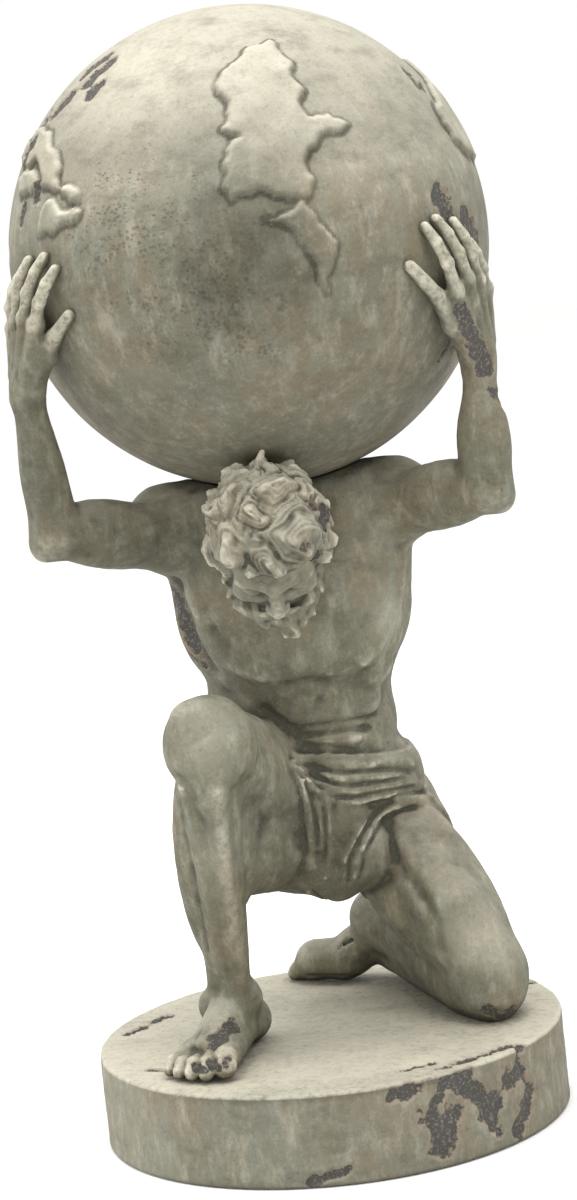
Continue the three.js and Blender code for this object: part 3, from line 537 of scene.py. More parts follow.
def shape_cloth(clay):
    clay.lump([18, 45, 114], [44, 32, 33], 4)
    clay.lump([26, 20, 136], [33, 29, 21], 8)
    clay.lump([40, 26, 128], [24, 26, 24], 8)
    clay.muscle([16, -1, 140], [12, 4, 66], 20, 17, [0, -1, 0], 7)
    clay.bone([-2, 10, 94], [24, 8, 92], 21, 21, 6)
    clay.wrap(
        [-60, -60, 60], [110, 110, 165], 1.7,
        [
            ((0, 0, 152), (0.13, -0.06, 1)),
            ((0, 0, 62), (0, 0, -1)),
            ((56, 12, 121), (0.48, -0.80, -0.36)),
            ((-4, -20, 135), (-0.77, -0.62, -0.18)),
        ],
    )
    # the rolled waist and the folds drawn up to the hip
    waist = np.array([15.0, 27, 149])
    clay.run(ring(waist, [41, 3, -6], [0, 32, 2], count=20), 2.3, 2.3, 3.5, steps=2)
    clay.run(ring(waist + [1, 1, -8], [43.5, 3, -8], [0, 33.5, 2], count=20), 2.1, 2.1, 4, steps=2)
    folds = [
        ([(-4, 152), (6, 147.5), (18, 143.5), (34, 141.5), (49, 139.5), (58, 136)], 2.0, 1.7),
        ([(-4, 148), (5, 142), (18, 136.5), (34, 134.5), (49, 133), (59, 129)], 1.9, 1.7),
        ([(-2, 144), (8, 135), (22, 129), (40, 127.5), (56, 127.5), (64, 122)], 1.8, 1.6),
        ([(0, 140), (11, 128), (25, 122.5), (44, 122.5), (60, 121)], 1.3, 1.3),
        ([(68, 114), (54, 118.5), (38, 115.5), (25, 104), (17, 92)], 1.6, 1.1),
        ([(72, 107), (60, 115), (49, 115), (36, 109), (27, 98)], 1.5, 1.0),
        ([(-4, 148), (-1, 136), (1, 121), (1, 105), (-2, 90)], 1.7, 1.5),
        ([(0, 142), (4.5, 131), (6.5, 117), (6, 101)], 1.5, 1.2),
        ([(11, 126), (11, 112), (9, 97), (6, 84)], 1.2, 1.0),
    ]
    for line, ra, rb in folds:
        clay.trace(line, ra, rb, 3.5, sink=0.3)
    creases = [
        ([(-3, 150), (5, 144.5), (18, 140), (34, 138), (49, 136), (58, 132)], 0.8),
        ([(-1, 144), (8, 138.5), (20, 132.5), (38, 131), (54, 130.5)], 0.8),
        ([(4, 137), (14, 128), (28, 124.5), (44, 125), (58, 124)], 0.7),
        ([(66, 118), (54, 121), (42, 119.5), (32, 113)], 0.8),
        ([(46, 117.5), (36, 112.5), (27, 102), (20.5, 91), (18, 80)], 1.9),
        ([(58, 112), (46, 111), (36, 104), (29, 94), (24, 80)], 0.9),
        ([(-1.5, 146), (2, 134), (4, 119), (3.5, 103)], 1.0),
        ([(9, 122), (8.5, 108), (6, 92)], 0.6),
    ]
    for line, r in creases:
        clay.trace(line, r, r * 0.7, 2, True)


# The head is bowed: across, towards the crown and towards the face

HEAD_CENTRE = np.array([-4.0, -68, 271])
BOW = math.radians(57)
HEAD_ACROSS = unit([1, 0, 0.05])
HEAD_FACE = np.array([0, -math.cos(BOW), -math.sin(BOW)])
HEAD_CROWN = -np.cross(HEAD_ACROSS, HEAD_FACE)
HEAD_AXES = [HEAD_ACROSS, HEAD_CROWN, HEAD_FACE]


def on_head(across, crown, face):
    return HEAD_CENTRE + HEAD_ACROSS * across + HEAD_CROWN * crown + HEAD_FACE * face


def shape_skull(clay):
    """The core of the head, which the hair hides on the coarser clay of the body."""
    clay.lump(on_head(0, 9, -3), [23, 26, 28], 8, HEAD_AXES)
    clay.lump(on_head(0, -8, 4), [16, 22, 15], 8, HEAD_AXES)


def shape_head(clay):
    clay.bone([3, 4, 274], [-3, -50, 274], 19, 16, 9)
    clay.lump(on_head(0, 9, -3), [25, 28, 30], 8, HEAD_AXES)
    clay.lump(on_head(0, -10, 8), [19.5, 25, 19], 8, HEAD_AXES)
    clay.lump(on_head(0, -33, 17), [9, 7, 8], 6, HEAD_AXES)
    for s in (-1, 1):
        clay.bone(on_head(s * 2, 6, 25.5), on_head(s * 17, 6, 19), 3.6, 3.4, 5)
        clay.lump(on_head(s * 10.5, 0, 28), [7, 5, 6], 4, HEAD_AXES, cut=True)
        clay.lump(on_head(s * 10.5, 0, 20), [5.6, 4.4, 4.4], 1.2, HEAD_AXES)
        lid = [on_head(s * 5.5, -0.5, 23.4), on_head(s * 10.5, -2, 25), on_head(s * 15.5, -0.5, 22.6)]
        clay.run(lid, 0.5, 0.5, 0.8, True)
        clay.run([p + np.array([0, 0, 1.2]) for p in lid], 0.7, 0.7, 1)
        clay.lump(on_head(s * 15, -8, 17), [7, 6, 7], 5, HEAD_AXES)
        clay.lump(on_head(s * 4, -13.5, 28), [2.6, 2.4, 3], 1.5, HEAD_AXES)
        clay.lump(on_head(s * 2.4, -15.6, 29.6), [1.1, 1.2, 1.2], 0.8, HEAD_AXES, cut=True)
    clay.bone(on_head(0, 5, 26), on_head(0, -12, 31), 2.6, 4, 3)


def shape_moustache(clay):
    for s in (-1, 1):
        for layer in (0, 1, 2):
            lock = [
                on_head(s * 0.8, -16.5 - 1.3 * layer, 29.5),
                on_head(s * 8, -19 - 2 * layer, 28),
                on_head(s * 14.5, -26 - 2 * layer, 22.5),
            ]
            clay.run(lock, 2.0, 1.2, 0.6)
    clay.lump(on_head(0, -24, 28), [5, 2.2, 2.4], 1, HEAD_AXES)


def shape_beard(clay):
    """One full mass from ear to ear, swelling into locks and scored by wavy strands."""
    tip = np.array([3.0, -54, 224])
    lock_width, strand_width, curl_height = 8.6, 2.9, 9.5
    join = 4
    masses = [
        bone_field(at(on_head(0, -27, 20)), at(tip + [-1, 1, 9]), 13, 9.5),
        bone_field(at(tip + [-1, 0, 12]), at(tip), 10, 5),
    ]
    for s in (-1, 1):
        masses.append(bone_field(at(on_head(s * 21, -8, 2)), at(on_head(s * 15, -22, 15)), 8, 9))
        masses.append(bone_field(at(on_head(s * 15, -22, 15)), at(on_head(s * 6, -30, 20)), 9, 10))
        masses.append(bone_field(at(on_head(s * 12, -26, 18)), at([3 + s * 10, -56, 236]), 8, 4.5))

    def field(x, y, z):
        d = masses[0](x, y, z)
        for mass in masses[1:]:
            e = mass(x, y, z)
            h = np.maximum(join - np.abs(d - e), 0)
            d = np.minimum(d, e) - h * h / (4 * join)
        down = z - TOP
        across = x - 3 + 2.0 * np.sin(down / 4.6 + 0.16 * x) + 0.7 * np.sin(down / 1.9 + 0.3 * x)
        locks = np.cos(2 * math.pi * across / lock_width + 0.8 * np.sin(down / 6))
        strands = np.cos(2 * math.pi * across / strand_width)
        curls = np.cos(2 * math.pi * (down + 3 * np.sin(x / 3.1)) / curl_height)
        return d - 0.6 * locks - 0.12 * strands - 0.75 * curls + 0.4

    clay.put((at([-46, -100, 212]), at([46, -30, 285])), field, 1.5)


def shape_hair(clay, count=34):
    """Curls that fill the scalp: the stone swells round each curl's middle, where its lock winds in, and
    is scored by strands. Some curls have a drilled eye."""
    rng = np.random.default_rng(8)
    golden = math.pi * (3 - math.sqrt(5))
    # the largest curls are listed: where, how wide, how proud, and whether the eye is drilled
    curls = [
        (unit([-0.66, 0.56, 0.50]), 1.5, 0.85, False), (unit([0.45, 0.64, 0.60]), 1.4, 0.80, False),
        (unit([0.17, 0.94, -0.22]), 0.95, 1.1, False), (unit([-0.34, 0.62, -0.66]), 0.8, 1.1, True),
        (unit([-0.07, 0.44, 0.90]), 1.2, 0.6, False), (unit([-0.91, -0.14, 0.39]), 1.0, 0.9, True),
        (unit([0.92, -0.12, 0.36]), 0.9, 1.0, True), (unit([0.90, 0.36, 0.05]), 1.15, 0.8, False),
        (unit([-0.60, 0.77, -0.16]), 1.05, 0.7, False), (unit([-0.10, 0.96, 0.24]), 0.85, 0.7, True),
    ]
    by_hand = len(curls)
    for i in range(count):
        up = 1 - (1.62 * (i + 0.5)) / count
        flat = math.sqrt(1 - up * up)
        ray = np.array([math.cos(i * golden + 0.5) * flat, up, math.sin(i * golden + 0.5) * flat])
        ray = unit(ray + rng.uniform(-0.13, 0.13, 3))
        look = (rng.uniform(0.7, 1.0), rng.uniform(0.5, 1.1), rng.uniform() < 0.25)
        if all(np.linalg.norm(ray - curl[0]) > 0.30 * curl[1] for curl in curls[:by_hand]):
            curls.append((ray, *look))
    turns = rng.uniform(0, 2 * math.pi, len(curls))
    hands = np.where(rng.uniform(size=len(curls)) < 0.5, 1.0, -1.0)
    crown = on_head(0, 13, -6)
    radii = (31.5, 31.5, 32.5)
    reach = 42                           # of the box round all the hair
    scalp = 32                           # from the middle of the skull to the curls
    join = 0.6

    def field(x, y, z):
        px, py, pz = x - at(crown)[0], y - at(crown)[1], z - at(crown)[2]
        q = [(px * axis[0] + py * axis[1] + pz * axis[2]) / r for axis, r in zip(HEAD_AXES, radii)]
        length = np.sqrt(q[0] ** 2 + q[1] ** 2 + q[2] ** 2) + 1e-6
        u = [c / length for c in q]
        v = [
            u[0] + 0.10 * np.sin(7 * u[1] + 3 * u[2]) + 0.04 * np.sin(19 * u[2] + 5 * u[1]),
            u[1] + 0.10 * np.sin(6 * u[2] + 4 * u[0] + 1) + 0.04 * np.sin(17 * u[0] + 7 * u[2]),
            u[2] + 0.10 * np.sin(7 * u[0] + 2 * u[1] + 2) + 0.04 * np.sin(18 * u[1] + 6 * u[0]),
        ]
        gathered = np.zeros(length.shape, np.float32)
        swell_here = np.zeros(length.shape, np.float32)
        nearest = np.full(length.shape, 1e3, np.float32)
        second = nearest.copy()
        carved = np.zeros(length.shape, np.float32)
        for (m, width, swell, eye), turn, hand in zip(curls, turns, hands):
            side = unit(np.cross(m, [0.3, 0.2, 0.93]))
            over = np.cross(m, side)
            a = scalp * (v[0] * side[0] + v[1] * side[1] + v[2] * side[2]) / width
            b = scalp * (v[0] * over[0] + v[1] * over[1] + v[2] * over[2]) / width
            away = scalp * np.sqrt((v[0] - m[0]) ** 2 + (v[1] - m[1]) ** 2 + (v[2] - m[2]) ** 2) / width
            weight = np.exp(-join * away)
            gathered += weight
            swell_here += weight * swell * width
            winding = hand * np.arctan2(b, a) + 0.85 * away + turn
            groove = 1.25 * np.exp((np.cos(winding) - 1) * 2.2) * np.clip(away / 3, 0, 1)
            strands = 0.26 * np.cos(4 * winding) * np.clip(away / 3, 0, 1)
            hole = 2.6 * np.exp(-(away / 1.7) ** 2) if eye else 0.0
            mine = away < nearest
            second = np.where(mine, nearest, np.minimum(second, away))
            nearest = np.where(mine, away, nearest)
            carved = np.where(mine, groove - strands + hole, carved)
        ringed = -np.log(gathered) / join
        seam = second - nearest
        rise = 6.4 * (swell_here / gathered) * np.exp(-(ringed / 6.2) ** 2) - 1.0
        rise = rise - carved * np.clip(seam / 2.5, 0.3, 1) - 0.9 * np.exp(-(seam / 1.8) ** 2)
        lumps = np.sin(23 * u[0] + 9 * u[1]) * np.sin(21 * u[2] + 11 * u[0]) * np.sin(25 * u[1] + 7 * u[2])
        rise = rise + 0.45 * lumps
        brow = np.clip((u[2] - 0.50) * 4, 0, 1) * np.clip((0.30 - u[1]) * 3, 0, 1)
        return (length - 1) * 30 - rise - 1.2 + 9 * brow

    clay.put((at(crown) - reach, at(crown) + reach), field, 1.0)
    clay.run([on_head(1, 29, -27), on_head(0, 35, -31), on_head(2, 38, -36)], 4.2, 1.6, 2)


# Skins: from clay to mesh

def skin_of(clay):
    """Draw the clay's skin: one point in each cell that the skin crosses, joined in squares."""
    v = np.where(np.abs(clay.values) < 1e-4, 1e-4, clay.values)
    inside = v < 0
    full = sum(
        inside[a:a - 1 or None, b:b - 1 or None, c:c - 1 or None].astype(np.int8)
        for a in (0, 1) for b in (0, 1) for c in (0, 1)
    )
    cells = np.argwhere((full > 0) & (full < 8))
    number = np.full(full.shape, -1, np.int32)
    number[tuple(cells.T)] = np.arange(len(cells))
    total = np.zeros((len(cells), 3))
    crossings = np.zeros(len(cells))
    corners = [(a, b, c) for a in (0, 1) for b in (0, 1) for c in (0, 1)]
    for p in corners:
        for axis in range(3):
            if p[axis]:
                continue
            q = list(p)
            q[axis] = 1
            vp = v[tuple((cells + p).T)]
            vq = v[tuple((cells + q).T)]
            hit = (vp < 0) != (vq < 0)
            t = vp[hit] / (vp[hit] - vq[hit])
            spot = (cells[hit] + p).astype(float)
            spot[:, axis] += t
            total[hit] += spot
            crossings[hit] += 1
    places = clay.low + clay.step * total / crossings[:, None]
    quads = []
    around = {
        0: [(0, -1, -1), (0, 0, -1), (0, 0, 0), (0, -1, 0)],
        1: [(-1, 0, -1), (-1, 0, 0), (0, 0, 0), (0, 0, -1)],
        2: [(-1, -1, 0), (0, -1, 0), (0, 0, 0), (-1, 0, 0)],
    }
    for axis in range(3):
        a = [slice(1, -1)] * 3
        b = [slice(1, -1)] * 3
        a[axis] = slice(1, -2)
        b[axis] = slice(2, -1)
        first, second = inside[tuple(a)], inside[tuple(b)]
        for leaving in (True, False):
            edges = np.argwhere((first & ~second) if leaving else (~first & second)) + 1
            quad = np.stack([number[tuple((edges + step).T)] for step in around[axis]], axis=1)
            quads.append(quad if leaving else quad[:, ::-1])
    return places, np.concatenate(quads)


def main_body(places, faces):
    """Keep only the largest connected skin."""
    label = np.arange(len(places))
    while True:
        before = label.copy()
        lowest = label[faces].min(axis=1)
        for corner in range(faces.shape[1]):
            np.minimum.at(label, faces[:, corner], lowest)
        label = label[label]
        if (label == before).all():
            break
    names, counts = np.unique(label, return_counts=True)
    keep = label == names[counts.argmax()]
    renumber = np.cumsum(keep) - 1
    return places[keep], renumber[faces[keep[faces[:, 0]]]]


def mesh_from(name, places, faces):
    """Make a mesh in metres from points in millimetres and faces of equal size."""
    mesh = bpy.data.meshes.new(name)
    sides = faces.shape[1]
    mesh.vertices.add(len(places))
    mesh.vertices.foreach_set("co", (np.asarray(places) * MM).astype(np.float32).ravel())
    mesh.loops.add(faces.size)
    mesh.loops.foreach_set("vertex_index", faces.astype(np.int32).ravel())
    mesh.polygons.add(len(faces))
    mesh.polygons.foreach_set("loop_start", np.arange(0, faces.size, sides, dtype=np.int32))
    mesh.update(calc_edges=True)
    mesh.validate()
    return mesh


def stand_piece(name, mesh, node, material):
    piece = bpy.data.objects.new(name, mesh)
    bpy.context.scene.collection.objects.link(piece)
    mesh.shade_smooth()
    mesh.materials.clear()
    mesh.materials.append(material)
    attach(piece, "root")
    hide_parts(node)
    return piece


def thinned(mesh, triangles):
    """Fold away the flattest triangles until that many are left."""
    mesh.calc_loop_triangles()
    now = len(mesh.loop_triangles)
    if now <= triangles:
        return mesh
    holder = bpy.data.objects.new(mesh.name, mesh)
    bpy.context.scene.collection.objects.link(holder)
    folding = holder.modifiers.new("Fewer triangles", "DECIMATE")
    folding.ratio = triangles / now
    result = bpy.data.meshes.new_from_object(holder.evaluated_get(bpy.context.evaluated_depsgraph_get()))
    bpy.data.objects.remove(holder)
    return result


def places_of(mesh):
    places = np.empty(len(mesh.vertices) * 3, np.float32)
    mesh.vertices.foreach_get("co", places)
    return places.reshape(-1, 3) / MM


def normals_of(mesh):
    normals = np.empty(len(mesh.vertices) * 3, np.float32)
    mesh.vertex_normals.foreach_get("vector", normals)
    return normals.reshape(-1, 3)


def set_places(mesh, places):
    mesh.vertices.foreach_set("co", (places * MM).astype(np.float32).ravel())
    mesh.update()


def write_layer(mesh, name, values):
    layer = mesh.attributes.new(name, "FLOAT", "POINT")
    layer.data.foreach_set("value", np.asarray(values, np.float32))


# How crowded the stone is round each point: half on a flat face, more in a hollow, less on a ridge

SMALL_GRID = 1e6                         # grids below this many points are summed in double precision


def blurred(grid, radius, passes=2):
    for _ in range(passes):
        for axis in range(3):
            padded = np.pad(grid, [(radius + 1, radius) if a == axis else (0, 0) for a in range(3)], "edge")
            exact = np.float64 if grid.size < SMALL_GRID else np.float32
            total = np.cumsum(padded, axis=axis, dtype=exact)
            ahead = [slice(None)] * 3
            behind = [slice(None)] * 3
            ahead[axis] = slice(2 * radius + 1, None)
            behind[axis] = slice(0, -(2 * radius + 1))
            grid = (total[tuple(ahead)] - total[tuple(behind)]) / (2 * radius + 1)
    return grid


def sampled(grid, low, step, places):
    q = (places - low) / step
    cell = np.clip(np.floor(q).astype(int), 0, np.array(grid.shape) - 2)
    total = np.zeros(len(q))
    for (dx, dy, dz), weight in cell_corners(np.clip(q - cell, 0, 1)):
        total += weight * grid[cell[:, 0] + dx, cell[:, 1] + dy, cell[:, 2] + dz]
    return total


FLAT = 0.5                               # crowding on a flat face
CROWDING = {}                            # of the figure
HEAD_CROWDING = {}                       # of the head


def keep_crowding(clay, kept):
    """Note how crowded the stone in this clay is at three widths, with the globe and the plinth's top
    counted as stone, for the wash, the painted shade where parts crowd each other, and the dry brush.
    """
    globe = away_from_globe(clay) - SEAT_RADIUS
    ground = (clay.lines[2] - PLINTH_HIGH[2])[None, None, :]
    everything = np.minimum(np.minimum(clay.values, globe), ground)
    stone = np.clip(FLAT - everything / clay.step, 0, 1).astype(np.float32)
    coarse = stone[::2, ::2, ::2].copy()
    coarser = blurred(coarse, 1, 1)[::2, ::2, ::2].copy()
    kept["fine"] = (blurred(stone, 1), clay.step)
    kept["middle"] = (blurred(coarse, 2), clay.step * 2)
    kept["wide"] = (blurred(coarser, 3), clay.step * 4)
    kept["low"] = clay.low


def crowding(name, places, kept=CROWDING):
    grid, step = kept[name]
    return sampled(grid, kept["low"], step, places)


def away_from_globe(clay):
    """How far each point of the clay's grid lies from the globe's centre."""
    x, y, z = clay.lines
    return np.sqrt(
        (x[:, None, None] - GLOBE_CENTRE[0]) ** 2
        + (y[None, :, None] - GLOBE_CENTRE[1]) ** 2
        + (z[None, None, :] - GLOBE_CENTRE[2]) ** 2
    )


def seat_globe(clay):
    """Hollow the clay for the globe, and level it above the plinth."""
    seat = SEAT_RADIUS + JOINT - away_from_globe(clay)
    ground = (TOP - clay.lines[2])[None, None, :]
    clay.values = np.maximum(np.maximum(clay.values, seat), ground).astype(np.float32)


def free_of_joints(places):
    """0 at the joints with the globe and the plinth, 1 a little way off."""
    free = smoothstep(0.4, 2.0, np.linalg.norm(places - GLOBE_CENTRE, axis=1) - SEAT_RADIUS)
    return free * smoothstep(0.2, 2.0, places[:, 2] - TOP)


def finished_skin(clay, name, triangles, chips, grain, kept, contrast=1.0):
    """Take the clay's skin, chip it, roughen it and write the layers that the finish reads."""
    places, faces = main_body(*skin_of(clay))
    mesh = thinned(mesh_from(name, places, faces), triangles)
    places = places_of(mesh)
    normals = normals_of(mesh)
    chip = chip_layer(places, chips, 5)
    worn = grain * (0.22 * noise(places, 7, 11) + 0.14 * noise(places, 3.5, 12)) - 0.2
    depth = worn - broken_out(chip)
    places = places + normals * (depth * free_of_joints(places))[:, None]
    set_places(mesh, places)
    write_layer(mesh, "fine", FLAT + contrast * (crowding("fine", places, kept) - FLAT))
    write_layer(mesh, "middle", crowding("middle", places, kept))
    write_layer(mesh, "wide", crowding("wide", places))
    # the layer of painted shade (above 0) and painted light (below 0) over the figure
    painted_places = [(at(middle), reach, amount) for middle, reach, amount in FIGURE_PAINTED_SHADE_AND_LIGHT]
    write_layer(mesh, "painted_shade_and_light", painted_shade_and_light_at(places, painted_places))
    write_layer(mesh, "chip", chip)
    return mesh


# Painted shade, darker (above 0), and painted light, paler (below 0), than the form alone makes it: place,
# reach, amount

FIGURE_PAINTED_SHADE_AND_LIGHT = [
    ((16, -8, 110), 36, 0.48), ((-117, -56, 332), 46, 0.42), ((-90, -30, 280), 30, 0.16),
    ((-28, -20, 112), 17, 0.2), ((-4, -15, 166), 24, 0.1), ((80, -28, 46), 26, -0.3),
    ((52, -15, 222), 22, -0.22), ((48, -10, 272), 22, -0.2), ((-49, -80, 176), 22, -0.26),
    ((-50, -72, 118), 30, -0.1), ((11, -98, 272), 11, 0.24), ((-10, -98, 284), 8, 0.16),
    ((22, -22, 92), 17, 0.26), ((-112, -52, 300), 30, 0.12), ((-49, -70, 110), 30, -0.06),
]


def painted_shade_and_light_at(places, regions):
    amount = np.zeros(len(places))
    for middle, reach, strength in regions:
        amount += strength * np.exp(-((np.linalg.norm(places - middle, axis=1) / reach) ** 2))
    return amount


# Chips: each runs from one place to another and has a half width. The figure's and the globe's are laid
# on from the front, so they give a place across and a height, or a bearing and a height.

FIGURE_CHIPS = [
    ((-57, 238), (-50, 213), 4.5), ((-52, 208), (-47, 204), 3.0), ((-59, 246), (-57, 242), 2.5),
    ((-61, 16), (-50, 20), 4.2), ((-72, 9), (-68, 7), 2.4), ((-64, 10), (-60, 8), 2.4),
    ((-56, 10), (-53, 12), 2.4), ((83, 8), (97, 6), 2.6), ((91, 3), (99, 2), 2.4),
]

HEAD_CHIPS = [
    ((20, 297), (21, 292), 2.4), ((24, 293), (27, 287), 3.0),
    ((24, 286), (26, 282), 2.2), ((13, 274), (18, 268), 3.2),
]

HAND_CHIPS = [
    ((50.5, -16.5), (54, -22), 4.0), ((54, -22), (59, -28.5), 4.0), ((60, -32), (65, -34.5), 3.4),
]

PLINTH_CHIPS = [
    ((35, -106, 50), (49, -100, 50), 2.6), ((51, -111, 50), (58, -110, 50), 2.2),
    ((62, -105, 50), (87, -87, 50), 2.8), ((91, -81, 50), (97, -86, 49), 3.6),
    ((27, -133, 42), (43, -128, 46), 3.4), ((49, -126, 34), (54, -122, 46), 3.2),
    ((55, -122, 46), (68, -115, 43), 3.4), ((46, -127, 28), (50, -126, 18), 6.0),
    ((51, -124, 14), (59, -120, 26), 6.4), ((66, -116, 41), (74, -110, 28), 5.6),
    ((73, -110, 28), (79, -106, 15), 5.4), ((82, -103, 28), (95, -90, 39), 6.2),
    ((90, -95, 6), (101, -81, 24), 4.2), ((-18, -134, 4), (1, -136, 8), 2.6),
    ((-98, 49, 50), (-91, 60, 50), 3.4), ((-97, -53, 50), (-89, -56, 50), 2.6),
    ((-112, 30, 50), (-100, 44, 50), 2.6), ((108, 46, 50), (120, 47, 50), 2.2),
]

GLOBE_CHIPS = [
    ((-66, 56), (-70, 50), 4.5), ((-56, 55), (-60, 48), 4.5), ((-50, 47), (-53, 44), 3.6),
    ((-66, 45), (-70, 40), 5.0), ((-76, 38), (-79, 33), 4.5), ((-73, 30), (-76, 25), 4.2),
    ((-60, 22), (-61, 18), 3.4), ((-68, 16), (-69, 12), 3.2), ((52, 9), (55, 1), 5.2),
    ((62, 3), (68, -4), 5.4), ((58, -2), (60, -5), 3.2), ((-85, 6), (-88, 4), 4.0),
    ((70, 40), (72, 36), 2.2), ((66, -24), (64, -30), 2.4), ((60, -26), (58, -31), 2.0),
]


def chip_layer(places, chips, seed):
    """How far each point lies inside a chip: 0 outside, a half at its ragged edge, up to 1 in its middle."""
    ragged = 0.34 * noise(places, 7, seed) + 0.26 * noise(places, 3.4, seed + 1)
    best = np.zeros(len(places))
    for start, end, width in chips:
        start, end = np.asarray(start, float), np.asarray(end, float)
        along = end - start
        t = np.clip((places - start) @ along / max(along @ along, 1e-9), 0, 1)
        away = np.linalg.norm(places - start - t[:, None] * along, axis=1) / width
        best = np.maximum(best, np.clip(1.0 - 0.5 * away + ragged, 0, 1) * (away < 2.4))
    return best


def broken_out(chip):
    """The share of a chip's full depth that is gone: none outside its ragged edge, all in its middle."""
    return smoothstep(0.42, 0.58, chip)


def chips_from_front(clay, chips):
    """Lay chips on the clay from the front."""
    found = []
    for start, end, width in chips:
        a, b = clay.laid([[across, 0, height] for across, height in (start, end)], start=WELL_IN_FRONT)
        found.append((at(a), at(b), width))
    return found


# Materials

def add(tree, kind, inputs=None, output=0, **settings):
    """Add one node and give one of its outputs. Inputs are linked where they are sockets and set where
    they are values."""
    node = tree.nodes.new(kind)
    for name, value in settings.items():
        setattr(node, name, value)
    for key, value in (inputs or {}).items():
        socket = node.inputs[key]
        if isinstance(value, bpy.types.NodeSocket):
            tree.links.new(value, socket)
        elif socket.type == "RGBA":
            socket.default_value = (*value, 1)
        else:
            socket.default_value = value
    return node.outputs[output] if node.outputs else None


# Patterns in the stone: how wide their lumps are in millimetres, detail, roughness, and for those that are
# drawn out how they are turned and scaled. Real grains are about half a millimetre wide and are drawn
# three times as coarse, so that they show.

STONE_PATTERNS = {
    "stains": (60, 4, 0.55, None),
    "streaks": (9, 5, 0.6, ((0.0, 0.0, 0.0), (1.0, 1.0, 0.22))),
    "blots": (14, 6, 0.66, None),
    "specks": (3.6, 4, 0.7, None),
    "strokes_down": (9, 7, 0.72, ((0.0, 0.25, 0.0), (1.0, 1.0, 0.4))),
    "strokes_across": (12, 7, 0.72, ((0.0, -0.6, 0.3), (0.45, 0.6, 1.0))),
    "grain": (1.5, 3, 0.6, None),
}
PIT_SPACING = 2.4                        # millimetres
WASH_AND_SHADE_STRENGTH = 0.88


